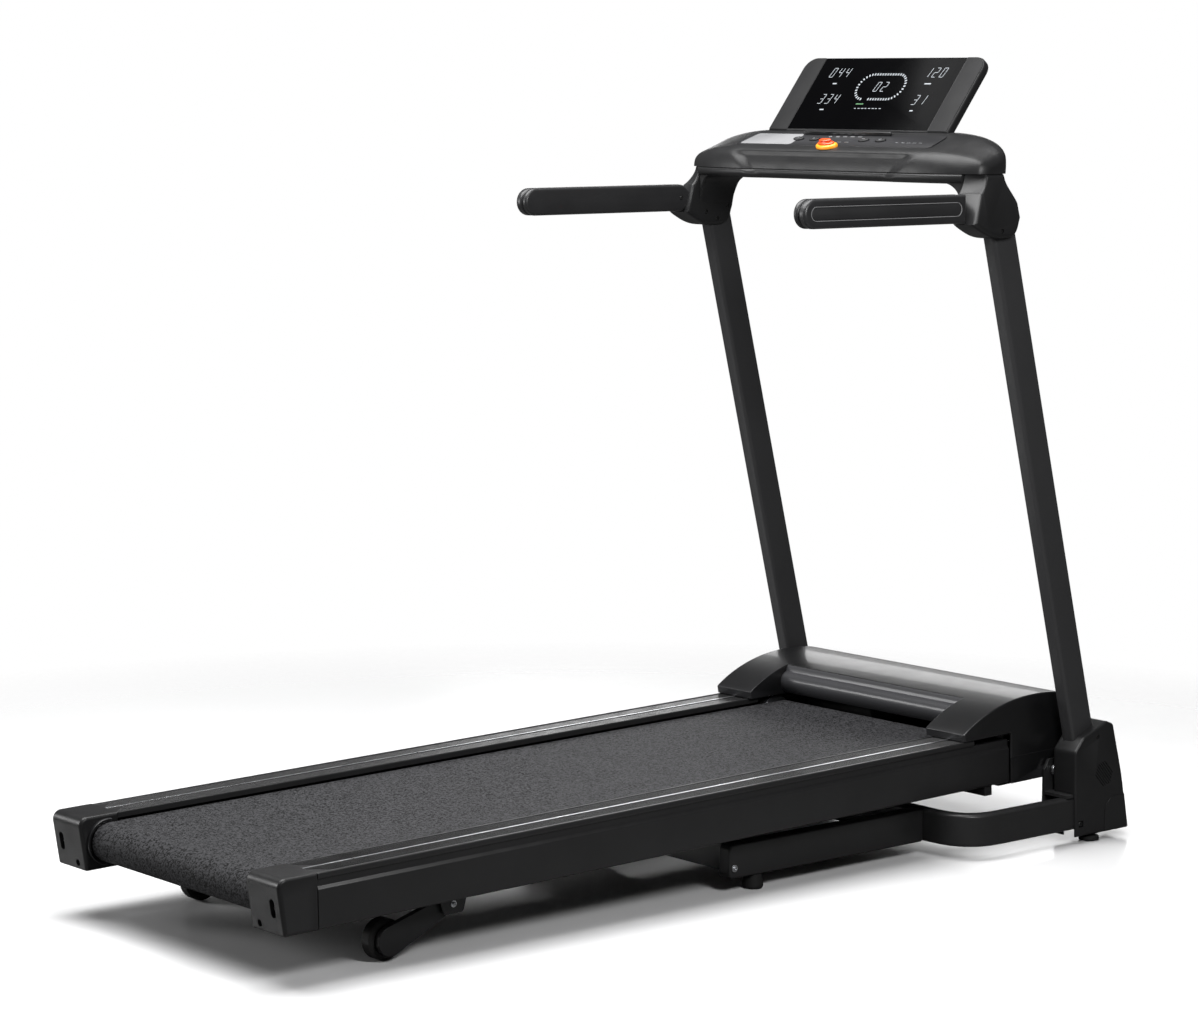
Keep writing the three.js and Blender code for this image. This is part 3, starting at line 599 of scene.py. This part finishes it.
# ---------------------------------------------------------------- head
def rolled(x):
    """How far round the console's end a place is: 0 along its middle, rising towards the tip."""
    start, length = 215, 162
    t = min(0.985, max(0.0, (abs(x) - start) / length))
    return 1 - math.sqrt(1 - t * t)


def drawn_in(x, y, amount=1.0):
    """Y of a point of the console once its ends are drawn in towards the uprights."""
    most = 0.9 if y > CONSOLE_Y else 0.7
    return CONSOLE_Y + (y - CONSOLE_Y) * (1 - most * amount * rolled(x))


def arch_fillet():
    """The rounded inner corner between the console's underside and a knuckle."""
    steps, top = 16, 1178
    rings = []
    for k in range(steps + 1):
        t = k / steps
        x = 292 + 50 * t
        low = 1174.2 - 62 * t ** 3.2
        rear, front = drawn_in(x, 1398), drawn_in(x, 1514)
        radius = min(9.0, (top - low) / 2.2)
        corners = [(rear, low, radius), (front, low, radius), (front, top, 0.5), (rear, top, 0.5)]
        rings.append([(x, a, b) for a, b in rounded(corners)])
    return loft(rings)


def wrap_onto_console(bm):
    """Draws the top of a knuckle in, so that it meets the outline of the console's end."""
    inner, width, narrowing = 339, 57, 21
    for vertex in bm.verts:
        x, y, z = vertex.co
        near = smooth(z, 1112, 1190)
        vertex.co.y = drawn_in(x, y, near)
        vertex.co.x = x - (x - inner) / width * narrowing * near
    return bm


def make_knuckles():
    side = bezier((1384.5, 1106), (1384.5, 1124), (1384.5, 1140), (1384.5, 1157), 6)
    side += bezier((1384.5, 1157), (1390, 1160), (1394, 1172), (1396, 1190), 10)
    side += bezier((1396, 1190), (1435, 1190), (1475, 1190), (1523, 1190), 4)
    side += bezier((1523, 1190), (1520, 1160), (1504, 1128), (1497, 1107), 16)
    side += bezier((1497, 1107), (1492, 1086), (1484, 1082), (1466, 1081), 8)
    side += bezier((1466, 1081), (1440, 1079), (1424, 1084), (1408, 1092), 8)
    side += bezier((1408, 1092), (1398, 1097), (1390, 1101), (1384.5, 1106), 4)
    body = pillow(side, 339, 396, 9, steps=6)
    inner = [(1479, 1150), (1484, 1117), (1431, 1106), (1459, 1093)]
    holes = [turned([(330, 4), (345, 4)], (0, y, z), steps=24) for y, z in inner]
    holes.append(turned([(388, 4), (400, 4)], (0, 1452, 1094), steps=24))
    shell = wrap_onto_console(carved(body, *holes))
    make_pair("knuckle_shell", shell, "frame", "black_plastic", ["knuckle"])
    heads = [bolt((344.5, y, z), "-X", 3.4, False, 1.6) for y, z in inner]
    heads.append(bolt((390, 1452, 1094), "X", 3.4, False, 1.6))
    make_pair("knuckle_screws", merge(*heads), "frame", "wheel_tyre")
    make_pair("arch_fillet", arch_fillet(), "frame", "black_plastic")


def make_handlebars():
    half, rear, z = 24.5, 1009, 1132.6
    outer = [Vector((1384, z - half)), Vector((1384, z + half))]
    outer += arc(rear + half, z, half, 90, 270, 20)
    shell = pillow(outer, 360.2, 377.8, 6)
    groove = along_x(stadium(1023, 1374, z, 13), 375.8, 380)
    island = pillow(stadium(1026.4, 1370.6, z, 9.6), 372, 377.8, 0.8, steps=2)
    shell = merge(carved(shell, groove), island)
    make_pair("handle_outer_shell", shell, "frame", "grip_plastic", ["handlebar"])
    # A thin pale ridge round the groove: a painted highlight along the groove's edges.
    loops = [(12.4, 376.4), (12.0, 377.5), (11.2, 377.5), (10.8, 376.4)]
    rings = [[(x, a, b) for a, b in stadium(1036 - r, 1361 + r, z, r)] for r, x in loops]
    make_pair("handle_painted_highlight", loft(rings + rings[:1], capped=False), "frame", "grey_plastic",
              material=PAINTED_HIGHLIGHT_GREY)
    inner = pillow(stadium(rear, 1400, z, half, 20), 347.6, 360, 5.5)
    hole = turned([(340, 4.2), (352, 4.2)], (0, 1377, z), steps=24)
    make_pair("handle_inner_shell", carved(inner, hole), "frame", "grip_plastic")
    make_pair("handle_screw", bolt((351.5, 1377, z), "-X", 3.6, False, 1.6), "frame", "wheel_tyre")


def panel(x, y):
    """The space of a control on the sloping panel, with Z standing off its surface."""
    z = 1229.6 + (y - 1412) * math.tan(PANEL_TILT)
    return FLOOR @ Matrix.Translation((x, y, z)) @ Matrix.Rotation(PANEL_TILT, 4, "X")


KEYS = {"key_start": -105, "key_stop": -63, "key_slower": 63, "key_faster": 105}


def key_pocket(a, b):
    """The well a key sinks into, a little wider than the key."""
    return pillow(ellipse(a, b, 12.8, 7.8), -4, 4, 0.2, "Z", 2)


TOP_HALF = 374  # half the width of the console's top shell
UNDER_HALF = 339  # and of its lower shell
RIM = 10  # how far in from its tips the top shell is rounded
REAR_FACE = 1425  # behind this Y a console section is on its rear face


def recess_weight(x, z):
    """How far in a point of the console's rear face is within its shallow middle recess, 0 to 1."""
    edge = 186 + (z - 1190) * 1.2
    return (1 - smooth(abs(x), edge - 16, edge + 20)) * (1 - smooth(z, 1212, 1226))


def console_ring(section, x, lower):
    """The console's section at x: drawn in towards the ends, rounded at their rims, and recessed."""
    rim = max(0.0, abs(x) - (TOP_HALF - RIM))
    shrink = (RIM - math.sqrt(max(0.0, RIM ** 2 - rim ** 2))) / (3 * RIM)
    ring = []
    for y, z in section:
        if y < REAR_FACE:
            y += 6.0 * recess_weight(x, z) - 1.5
        y = CONSOLE_Y + (drawn_in(x, y) - CONSOLE_Y) * (1 - shrink)
        if not lower:
            z = CONSOLE_SEAM + (z - CONSOLE_SEAM) * (1 - 0.76 * rolled(x)) * (1 - shrink)
        ring.append((x, y, z))
    return ring


def console_stations(half):
    """Where along X a console shell has its sections, closest where its shape turns."""
    fine = [155 + 2.5 * k for k in range(36)]
    rim = [half]
    if half == TOP_HALF:
        rim = [half - RIM + RIM * math.sin(math.pi / 16 * k) for k in range(9)]
    rest = [20 * k for k in range(1, 8)] + [250 + 8 * k for k in range(12)] + [346, 352, 358]
    ends = sorted(x for x in set(fine + rest + rim) if x <= half)
    return [-x for x in reversed(ends)] + [0] + ends


def make_console():
    top = bezier((1394, CONSOLE_SEAM), (1394, 1204), (1399, 1221), (1408, 1226.5), 16)
    top += bezier((1408, 1226.5), (1410, 1228), (1412, 1229.2), (1415, 1230.2), 4)
    top += bezier((1415, 1230.2), (1438, 1239), (1462, 1248.2), (1484, 1256.6), 10)
    top += bezier((1484, 1256.6), (1494, 1259), (1504, 1259), (1512, 1258), 6)
    top += bezier((1512, 1258), (1526, 1255), (1532, 1238), (1526, CONSOLE_SEAM), 14)
    top += [Vector((1526, CONSOLE_SEAM))]
    shell = loft([console_ring(top, x, False) for x in console_stations(TOP_HALF)])
    to_floor = FLOOR.inverted()
    wells = [moved(key_pocket(0, 0), to_floor @ panel(x, PANEL_Y)) for x in KEYS.values()]
    shell = carved(shell, *wells)
    make("console_upper", shell, "frame", "black_plastic", ["console_top_shell"], angle=50)
    low = bezier((1396.5, 1190), (1392, 1188), (1392, 1186), (1392.5, 1182), 6)
    low += bezier((1392.5, 1182), (1393, 1177), (1398, 1173), (1410, 1173), 10)
    low += bezier((1410, 1173), (1440, 1172.4), (1475, 1172.6), (1500, 1173), 6)
    low += bezier((1500, 1173), (1514, 1173.5), (1521, 1179), (1523, 1190), 8)
    low += [Vector((1523, 1190))]
    shell = loft([console_ring(low, x, True) for x in console_stations(UNDER_HALF)])
    make("console_under", shell, "frame", "black_plastic", ["console_lower_shell"], angle=50)


def key_mark(name):
    """The printed sign on a key: a triangle, a square, a minus or a plus."""
    base, top = 3, 3.75
    if name == "key_start":
        return along_z([(-2.6, -3), (3.4, 0), (-2.6, 3)], base, top)
    if name == "key_stop":
        return block(-2.6, 2.6, -2.6, 2.6, base, top)
    minus = block(-3.6, 3.6, -0.6, 0.6, base, top)
    if name == "key_faster":
        return merge(minus, block(-0.6, 0.6, -3.6, 3.6, base, top - 0.01))
    return minus


def printed_marks():
    """Two rows of dashes between the keys, and a row of short ones at the right."""
    marks = []
    for row, y in ((0, 16), (1, -10)):
        for k in range(5 - row):
            x = (k - (4 - row) / 2) * 19
            dash = [(x + a, y + b, 1) for a, b in ((-5, -1.6), (5, -1.6), (5, 1.6), (-5, 1.6))]
            marks.append(along_z(rounded(dash), 0.2, 0.6))
    return marks + [block(150 + 14 * k, 158 + 14 * k, -8, -6.6, 0.2, 0.6) for k in range(5)]


def make_controls():
    overlay = rounded([(-250, -26, 10), (250, -26, 10), (246, 31, 12), (-246, 31, 12)])
    wells = [key_pocket(x, 2.1) for x in KEYS.values()]
    sheet = carved(pillow(overlay, -1.0, 0.35, 0.3, "Z", 2), *wells)
    make("control_overlay", sheet, "frame", "gloss_black", space=panel(0, PANEL_Y - 2))
    # A pale plate on the left of the panel: a painted reflection of the lights on its glossy top.
    patch = rounded([(-64, -22, 6), (72, -22, 6), (64, 26, 8), (-58, 26, 8)])
    make("painted_reflection_patch", pillow(patch, -1.0, 0.8, 0.4, "Z", 2), "frame", "grey_plastic",
         space=panel(-176, PANEL_Y - 2), material=PAINTED_HIGHLIGHT_GREY)
    for name, x in KEYS.items():
        cap = pillow(ellipse(0, 0, 12, 7), -0.5, 3.3, 1.2, "Z")
        make(f"{name}_cap", cap, name, "grey_plastic", [name], space=panel(x, PANEL_Y))
        make(f"{name}_mark", key_mark(name), name, "aluminium", space=panel(x, PANEL_Y))
    make("printed_marks", merge(*printed_marks()), "frame", "aluminium", space=panel(0, PANEL_Y))


def make_tablet_rest():
    space = panel(0, 1468)
    ledge = pillow(stadium(-112, 112, 4, 3.6, 8), -2, 2, 1.2, "Y")
    make("tablet_rest", ledge, "frame", "gloss_black", ["tablet_ledge"], space=space)
    slot = rounded([(-108, 4, 1), (108, 4, 1), (108, 10, 1), (-108, 10, 1)])
    make("tablet_slot", pillow(slot, 0.1, 0.6, 0.2, "Z", 2), "frame", "wheel_tyre", space=space)


def make_safety_key():
    space = panel(0, 1416)
    rim = [(25, 0), (25, 3), (24, 4.8), (22, 6), (19.5, 6.3)]
    seat = loft([[(a, b, h) for a, b in ellipse(0, 0, r, r - 11.5)] for r, h in rim])
    make("safety_key_seat", seat, "frame", "orange_plastic", ["safety_key_base"], space=space)
    grip = [(19, 9, 6.6), (19, 9, 8.4), (17.4, 7.6, 9.6), (14.5, 6, 10), (13, 5, 12),
            (14.5, 6, 13.6), (12.6, 4.6, 14.6)]
    clip = loft([[(a, b, h) for a, b in ellipse(0, 0, ra, rb)] for ra, rb, h in grip])
    make("safety_key_grip", clip, "safety_key", "red_plastic", ["safety_key"], space=space)


# ---------------------------------------------------------------- display
FACE_TILT = math.pi / 2 - math.atan2(103, 132)  # it leans back 103 mm in 132 mm of height
FACE = FLOOR @ Matrix.Translation((0, 1484, 1258.6)) @ Matrix.Rotation(FACE_TILT, 4, "X")
SEGMENTS = {  # the ends of each bar of a seven-bar digit, in half widths and half heights
    "a": ((-1, 1), (1, 1)), "b": ((1, 1), (1, 0)), "c": ((1, 0), (1, -1)), "d": ((-1, -1), (1, -1)),
    "e": ((-1, 0), (-1, -1)), "f": ((-1, 1), (-1, 0)), "g": ((-1, 0), (1, 0)),
}
DIGITS = {"0": "abcdef", "1": "bc", "2": "abged", "3": "abgcd", "4": "fgbc"}
LIT = (0.1, 0.32)  # where a lit shape starts and ends above the display's face


def bar(start, end, width):
    """A thin flat bar with pointed ends between two points of the display's face."""
    along = (end - start).normalized() * width
    half = Vector((-along.y, along.x)) * 0.5
    near, far = start + along * 0.8, end - along * 0.8
    tips = [start + along * 0.25, near + half, far + half, end - along * 0.25, far - half, near - half]
    return along_z(tips, *LIT)


def number(text, u, v):
    """Slanted seven-bar digits centred on (u, v)."""
    pitch, wide, high, thick, slant = 18.5, 4.3, 10.2, 1.0, 0.22
    bars = []
    for i, character in enumerate(text):
        middle = u + (i - (len(text) - 1) / 2) * pitch
        for name in DIGITS[character]:
            start, end = (
                Vector((middle + a * wide + b * high * slant, v + b * high)) for a, b in SEGMENTS[name]
            )
            bars.append(bar(start, end, thick))
    return bars


def racetrack(distance, half_length, radius):
    """The point and outward direction at a distance round a racetrack, starting low on its right."""
    end = half_length - radius
    straight, bend = 2 * end, math.pi * radius
    if distance < straight:
        return Vector((end - distance, -radius)), Vector((0, -1))
    if distance < straight + bend:
        facing = -math.pi / 2 - (distance - straight) / radius
        out = Vector((math.cos(facing), math.sin(facing)))
        return Vector((-end, 0)) + radius * out, out
    if distance < 2 * straight + bend:
        return Vector((distance - straight - bend - end, radius)), Vector((0, 1))
    facing = math.pi / 2 - (distance - 2 * straight - bend) / radius
    out = Vector((math.cos(facing), math.sin(facing)))
    return Vector((end, 0)) + radius * out, out


def ring_of_blocks(u, v, half_length, radius):
    """Lit blocks round a racetrack, with a small gap left in its lower side."""
    count, gap = 46, (8, 9)
    half_wide, half_high = 1.35, 2.4
    total = 4 * (half_length - radius) + 2 * math.pi * radius
    blocks = []
    for k in range(count):
        if k in gap:
            continue
        centre, out = racetrack(total * k / count, half_length, radius)
        side = Vector((-out.y, out.x)) * half_wide
        out = out * half_high
        middle = centre + Vector((u, v))
        corners = [middle + way * out + hand * side for way, hand in ((1, 1), (-1, 1), (-1, -1), (1, -1))]
        blocks.append(along_z(corners, *LIT))
    return blocks


def lit_shapes():
    """Everything white on the display: numbers, the ring, and the bars below them."""
    lit = number("044", -121, 131) + number("334", -113, 71) + number("120", 123, 131)
    lit += number("31", 119, 70) + number("02", 4, 99)
    lit += ring_of_blocks(3, 99, 59, 28)
    for u, v, wide in ((-121, 106, 5), (-117, 47, 5), (117, 106, 8), (113, 46, 4)):
        lit.append(block(u - wide, u + wide, v - 1.2, v + 1.2, *LIT))
    return lit + [block(-34 + 9 * k, -30 + 9 * k + k % 3, 49.6, 50.8, *LIT) for k in range(8)]


def make_display():
    plate = [(-229.5, 0, 2), (229.5, 0, 2), (229.5, 167, 27), (-229.5, 167, 27)]
    back = [(-196, 14, 14), (196, 14, 14), (190, 150, 20), (-190, 150, 20)]
    housing = merge(pillow(plate, -17, -0.2, 4.5, "Z"), pillow(back, -21, -14, 4, "Z"))
    make("display_case", housing, "frame", "black_plastic", ["display_housing"], space=FACE)
    vents = [pillow(stadium(-60, 60, 96 + 8 * k, 1.6, 6), -21.8, -20, 0.5, "Z", 2) for k in range(5)]
    make("display_vents", merge(*vents), "frame", "wheel_tyre", space=FACE)
    neck = [(1497, 1256), (1522, 1256), (1534, 1296), (1522, 1300)]
    make("display_neck", pillow(neck, -150, 150, 3), "frame", "black_plastic")
    window = rounded([(-179, 3.5, 1), (179, 3.5, 1), (179, 164, 1), (-179, 164, 1)])
    make("display_window", pillow(window, -2, 0.15, 0.3, "Z", 2), "frame", "display_glass",
         ["display_glass"], space=FACE)
    for side in (-1, 1):
        cheek = [(180.4, 1.5, 1), (227, 1.5, 1), (227, 165, 25), (180.4, 165, 1)]
        outline = [(side * a, b, r) for a, b, r in cheek]
        make(f"display_bezel_{'right' if side > 0 else 'left'}", pillow(outline, -2, 0.5, 0.5, "Z", 3),
             "frame", "black_plastic", space=FACE, material=BEZEL)
    make("display_segments", merge(*lit_shapes()), "frame", "display_glass", space=FACE,
         material=WHITE_LIGHT)
    make("display_level", block(-36, -17, 59, 61.4, *LIT), "frame", "display_glass", space=FACE,
         material=GREEN_LIGHT)


# ---------------------------------------------------------------- deck
REAR_AXLE = 50  # the rear roller's place along the deck
FRONT_AXLE = 1530
AXLE_N = -43.5  # both rollers' depth under the deck's top face


def rail_ribs(x0, x1, start, end):
    """Slanted anti-slip ribs across a band of the foot rail."""
    pitch, wide = 4.6, 2.1
    bm = bmesh.new()
    lean = x1 - x0
    place = start
    while place + lean + wide < end:
        low = [(x0, place), (x0, place + wide), (x1, place + lean + wide), (x1, place + lean)]
        base = [bm.verts.new((x, y, -1.6)) for x, y in low]
        top = [bm.verts.new((x, y + side * 0.7, -0.85)) for (x, y), side in zip(low, (1, -1, -1, 1))]
        bm.faces.new(top)
        for i in range(4):
            bm.faces.new((base[i], base[i - 1], top[i - 1], top[i]))
        place += pitch
    return bm


def make_rails():
    start, end = 74.3, 1478
    low = -1.4  # the sunk bands that carry the ribs
    profile = [(240, -10), (240, -1.8), (240.6, -0.6), (241.6, 0), (244, 0), (245, low), (277, low),
               (277.6, -0.5), (282.4, -0.5), (283, low), (315.4, low), (316.4, 0), (319.8, 0),
               (321.3, -0.7), (322, -2), (322, -7), (320.4, -10)]
    make_pair("foot_plate", along_y(profile, start, end), "deck", "rail_plastic", ["foot_rail"],
              space=DECK, edge=0.35, steps=2, angle=20)
    bands = ((246.2, 276), (284, 314.4))
    ribs = merge(*(rail_ribs(x0, x1, start + 2, end - 2) for x0, x1 in bands))
    make_pair("foot_plate_ribs", ribs, "deck", "rail_plastic", space=DECK)
    line = rounded([(278.2, -0.7, 0.1), (281.8, -0.7, 0.1), (281.8, -0.15, 0.2),
                    (278.2, -0.15, 0.2)])
    make_pair("silver_line", along_y(line, start, end), "deck", "aluminium", space=DECK)
    side = [(284, -10.3, 0.4), (318.4, -10.3, 0.4), (318.4, -21, 4), (322, -26, 5), (322, -87.4, 4),
            (284, -87.4, 0.4), (284, -84.4, 0.4), (318.6, -84.4, 1.5), (315.4, -13.3, 1),
            (284, -13.3, 0.4)]
    channel = pillow(side, start, 1565.5, 0.8, "Y", 2)
    make_pair("side_panel", channel, "deck", "frame_paint", ["side_rail"], space=DECK, angle=50)
    ear = [(322, -84, 1), (334, -118, 8), (371, -118, 8), (382, -84, 1)]
    make_pair("foot_ear", pillow(ear, 284.2, 289, 0.8, steps=2), "deck", "frame_paint", space=DECK)
    make_pair("foot_ear_bolt", bolt((289, 352, -102), "X", 3.6), "deck", "steel", space=DECK)


def make_end_caps():
    side = [(74, 1, 1.2), (-1.2, 1, 15), (10.9, -88.4, 4), (74, -88.4, 1.2)]
    slot = along_y([(x, n) for n, x in stadium(-62, -32, 301, 6, 10)], -8, 22)
    hole = turned([(-4, 5.6), (26, 5.6)], (260, 0, -77), "Y", 32)
    roller_end = block(228, 264, 40, 60, -54, -33)
    cap = carved(pillow(side, 236.2, 324, 5.5, steps=6), slot, hole, roller_end)
    make_pair("end_cap_shell", cap, "deck", "black_plastic", ["end_cap"], space=DECK, edge=0.5,
              steps=2, angle=40)
    bolts = merge(bolt((301, 15, -47), "-Y", 5.4, False), bolt((260, 18, -77), "-Y", 4.6, False))
    make_pair("end_cap_bolts", bolts, "deck", "steel", space=DECK)
    guard = arc(REAR_AXLE, AXLE_N, 38, 78, 262, 30) + arc(REAR_AXLE, AXLE_N, 33.4, 262, 78, 30)
    make_pair("roller_guard", pillow(guard, 229.4, 237, 1.2, steps=3), "deck", "gloss_black",
              space=DECK)


def make_running_gear():
    rings = []
    for x, radius in ((-228, 32), (228, 32), (228, 30.3), (-228, 30.3)):
        loop = arc(FRONT_AXLE, AXLE_N, radius, -90, 90, 40)
        loop += arc(REAR_AXLE, AXLE_N, radius, 90, 270, 40)
        rings.append([(x, a, b) for a, b in loop])
    lining = block(234.4, 240.4, 78, 1478, -36, -14)
    make_pair("rail_lining", lining, "deck", "rail_plastic", space=DECK)
    belt = loft(rings + rings[:1], capped=False)
    make("belt", belt, "deck", "running_belt", ["running_belt"], space=DECK)
    rolls = [(-262, 7), (-232, 7), (-232, 29), (-231, 30), (231, 30), (232, 29), (232, 7), (262, 7)]
    roller = turned(rolls, (0, REAR_AXLE, AXLE_N))
    make("rear_roll", roller, "rear_roller", "steel", ["rear_roller"], space=DECK)
    for node, edge in (("front_roller", 0.8), ("running_board", 1.5), ("motor_pulley", 0.8),
                       ("drive_belt", 0.4), ("cross_member_rear", 2), ("cross_member_front", 2),
                       ("lift_bar", 1.5), ("strut_cylinder", 0.8), ("strut_rod", 0.5)):
        polish(node, edge)


HOOD_STEP = 1568  # behind it, only the hood's two arms, which lie on the foot rails


def hood_outline(pull):
    """Side outline of the hood in DECK space, with every face pulled in by an amount."""
    front, nose, rear = 1744 - pull, 1730 - pull, 1450 + pull * 4
    under, arm = -44 - pull, 0.3 - pull
    outline = [Vector((rear + 2, arm))]
    outline += bezier((rear, 14 - pull), (rear + 28, 34 - pull), (1530, 58 - pull), (1600, 63 - pull), 24)
    outline += bezier((1600, 63 - pull), (1660, 67 - pull), (1712, 60 - pull), (nose, 44 - pull), 20)
    outline += bezier((nose, 44 - pull), (1740 - pull, 35), (front, 22), (front, 6), 10)
    ends = ((front, 6), (front, under), (HOOD_STEP, under), (HOOD_STEP, arm))
    return outline + [Vector(point) for point in ends]


def make_hood_trim():
    """The rolled edge over the belt, the lip above it, and the vents in the hood's front."""
    nose = [Vector((1560, 2)), Vector((1540, 2))]
    nose += bezier((1540, 2), (1522, 12), (1522, 38), (1542, 43), 20)
    nose += [Vector((1542, 43)), Vector((1560, 43))]
    make("hood_roll", along_x(nose, -231, 231), "deck", "gloss_black", space=DECK, angle=60)
    lip = bezier((1540, 40), (1542, 50), (1546, 56), (1552, 56), 8)
    lip += [Vector((1562, 54)), Vector((1562, 40))]
    make("hood_lip", along_x(lip, -231, 231), "deck", "gloss_black", space=DECK, angle=60)
    vents = []
    for k in range(5):
        vents.append(pillow(stadium(-70, 70, -4 - 8 * k, 1.7, 6), 1743.2, 1744.6, 0.4, "Y", 2))
    make("hood_vents", merge(*vents), "deck", "wheel_tyre", space=DECK)


def make_hood():
    shell = pillow(hood_outline(0), -325, 325, 3, steps=4)
    mouth = block(-230, 230, 1400, 1546, -60, 90)
    cavity = carved(along_x(hood_outline(4), -321, 321), block(-234, 234, 1400, 1550, -60, 90))
    make("hood_shell", carved(shell, mouth, cavity), "deck", "gloss_black", ["motor_hood"],
         space=DECK, edge=1.4, angle=40)
    side = [(HOOD_STEP, -42, 0.5), (HOOD_STEP, -90, 2), (1742, -90, 8), (1742, -42, 0.5)]
    notch = turned([(315, 14), (330, 14)], (0, 1668.8, -78), steps=40)
    make_pair("hood_skirt", carved(pillow(side, 321, 325, 0.8), notch), "deck", "gloss_black",
              space=DECK)
    make_hood_trim()


def make_motor_bay():
    for node, edge in (("motor_tray", 0.8), ("drive_motor", 1.5), ("motor_controller", 1.2),
                       ("power_inlet", 0.8), ("power_switch", 1.0)):
        polish(node, edge)
    fins = [block(48 + 12 * k, 53 + 12 * k, 1590, 1696, -50.2, -40) for k in range(12)]
    make("controller_fins", merge(*fins), "deck", "aluminium", space=DECK)
    blades = [block(x - 0.8, x + 0.8, 1731.5, 1741, -78, -70) for x in (198, 204, 210)]
    make("inlet_pins", merge(*blades), "deck", "steel", space=DECK)


def make_rear_feet():
    for side in ("right", "left"):
        polish(f"rear_foot_{side}", 1.4)
    tread = [(244, 5.3), (244, 12), (246, 13), (246, 22), (244, 24), (244, 29), (247, 33),
             (265, 33), (268, 29), (268, 24), (266, 22), (266, 13), (268, 12), (268, 5.3)]
    make_pair("rear_wheel_tyre", turned(tread, (0, 240, 33), hollow=True), "rear_wheel", "wheel_tyre",
              ["rear_wheel"])


# ---------------------------------------------------------------- studio
def floor_finish():
    """A pale, slightly glossy floor that fades out round the object. Only the camera sees it pale."""
    material, nodes, links, shader = new_material("pale_floor")
    uneven = texture(nodes, links, NOISE, 1.5).outputs["Fac"]
    links.new(spread(nodes, links, uneven, 0.20, 0.24), shader.inputs["Roughness"])
    seen = nodes.new("ShaderNodeLightPath")
    dim, pale = (0.2, 0.2, 0.2), (0.92, 0.92, 0.925)
    tone = two_tone(nodes, links, seen.outputs["Is Camera Ray"], dim, pale)
    links.new(tone.outputs["Color"], shader.inputs["Base Color"])
    shader.inputs["Specular IOR Level"].default_value = 0.35
    place = nodes.new("ShaderNodeTexCoord")
    away = nodes.new("ShaderNodeVectorMath")
    away.operation = "LENGTH"
    links.new(place.outputs["Object"], away.inputs[0])
    clear = nodes.new("ShaderNodeBsdfTransparent")
    fade = nodes.new("ShaderNodeMixShader")
    links.new(spread(nodes, links, away.outputs["Value"], 0.0, 1.0, 1.3, 2.4), fade.inputs[0])
    links.new(shader.outputs[0], fade.inputs[1])
    links.new(clear.outputs[0], fade.inputs[2])
    links.new(fade.outputs[0], nodes["Material Output"].inputs["Surface"])
    return material


def make_floor():
    material = floor_finish()
    bm = bmesh.new()
    bmesh.ops.create_grid(bm, x_segments=8, y_segments=8, size=3.2)
    mesh = bpy.data.meshes.new("pale_floor")
    bm.to_mesh(mesh)
    bm.free()
    floor = bpy.data.objects.new("pale_floor", mesh)
    floor.location.z = -0.0006
    mesh.materials.append(material)
    bpy.context.scene.collection.objects.link(floor)


def softbox(name, place, aim, wide, high, power):
    """A white rectangular light at a place, turned towards its aim and hidden from the camera."""
    light = bpy.data.lights.new(name, "AREA")
    light.shape = "RECTANGLE"
    light.size = wide
    light.size_y = high
    light.energy = power
    lamp = bpy.data.objects.new(name, light)
    lamp.visible_camera = False
    lamp.location = place
    lamp.rotation_euler = (Vector(aim) - Vector(place)).to_track_quat("-Z", "Y").to_euler()
    bpy.context.scene.collection.objects.link(lamp)


def make_world():
    """White to the camera, and dimmer as light on the object."""
    world = bpy.data.worlds.new("studio")
    bpy.context.scene.world = world
    world.use_nodes = True
    nodes, links = world.node_tree.nodes, world.node_tree.links
    ray = nodes.new("ShaderNodeLightPath")
    dim = nodes["Background"]
    dim.inputs["Color"].default_value = (1, 1, 1, 1)
    dim.inputs["Strength"].default_value = 0.08
    bright = nodes.new("ShaderNodeBackground")
    bright.inputs["Color"].default_value = (1, 1, 1, 1)
    bright.inputs["Strength"].default_value = 1.0
    blend = nodes.new("ShaderNodeMixShader")
    links.new(ray.outputs["Is Camera Ray"], blend.inputs[0])
    links.new(dim.outputs[0], blend.inputs[1])
    links.new(bright.outputs[0], blend.inputs[2])
    links.new(blend.outputs[0], nodes["World Output"].inputs["Surface"])


def make_camera():
    """The photograph's view: tilt below level and turn from +Y, both in degrees."""
    tilt, turn = 7.201, 50.23
    camera = bpy.data.objects.new("photo_camera", bpy.data.cameras.new("photo_camera"))
    camera.location = (4.4596, -3.7245, 1.3523)
    camera.rotation_euler = (math.radians(90 - tilt), 0, math.radians(turn))
    camera.data.lens = 103.32
    camera.data.sensor_width = 36
    camera.data.clip_start = 0.1
    camera.data.clip_end = 200
    bpy.context.scene.collection.objects.link(camera)
    bpy.context.scene.camera = camera


def make_studio():
    make_world()
    make_floor()
    softbox("overhead", (-0.4, -0.5, 3.2), (0, 0, 0), 2.4, 3.0, 200)
    softbox("back_key", (-3.6, 4.2, 1.7), (0, 0, 0.5), 3.0, 1.2, 38)
    softbox("left_key", (-3.2, -3.0, 1.3), (0, 0, 0.7), 1.2, 1.2, 60)
    softbox("head_fill", (2.3, -0.5, 1.9), (0.35, 0.5, 1.15), 0.7, 0.7, 40)
    make_camera()
    bpy.context.scene.view_settings.view_transform = "Standard"


make_base()
make_foot_covers()
make_front_wheels()
make_knuckles()
make_handlebars()
make_console()
make_controls()
make_tablet_rest()
make_safety_key()
make_display()
make_rails()
make_end_caps()
make_running_gear()
make_hood()
make_motor_bay()
make_rear_feet()
make_studio()
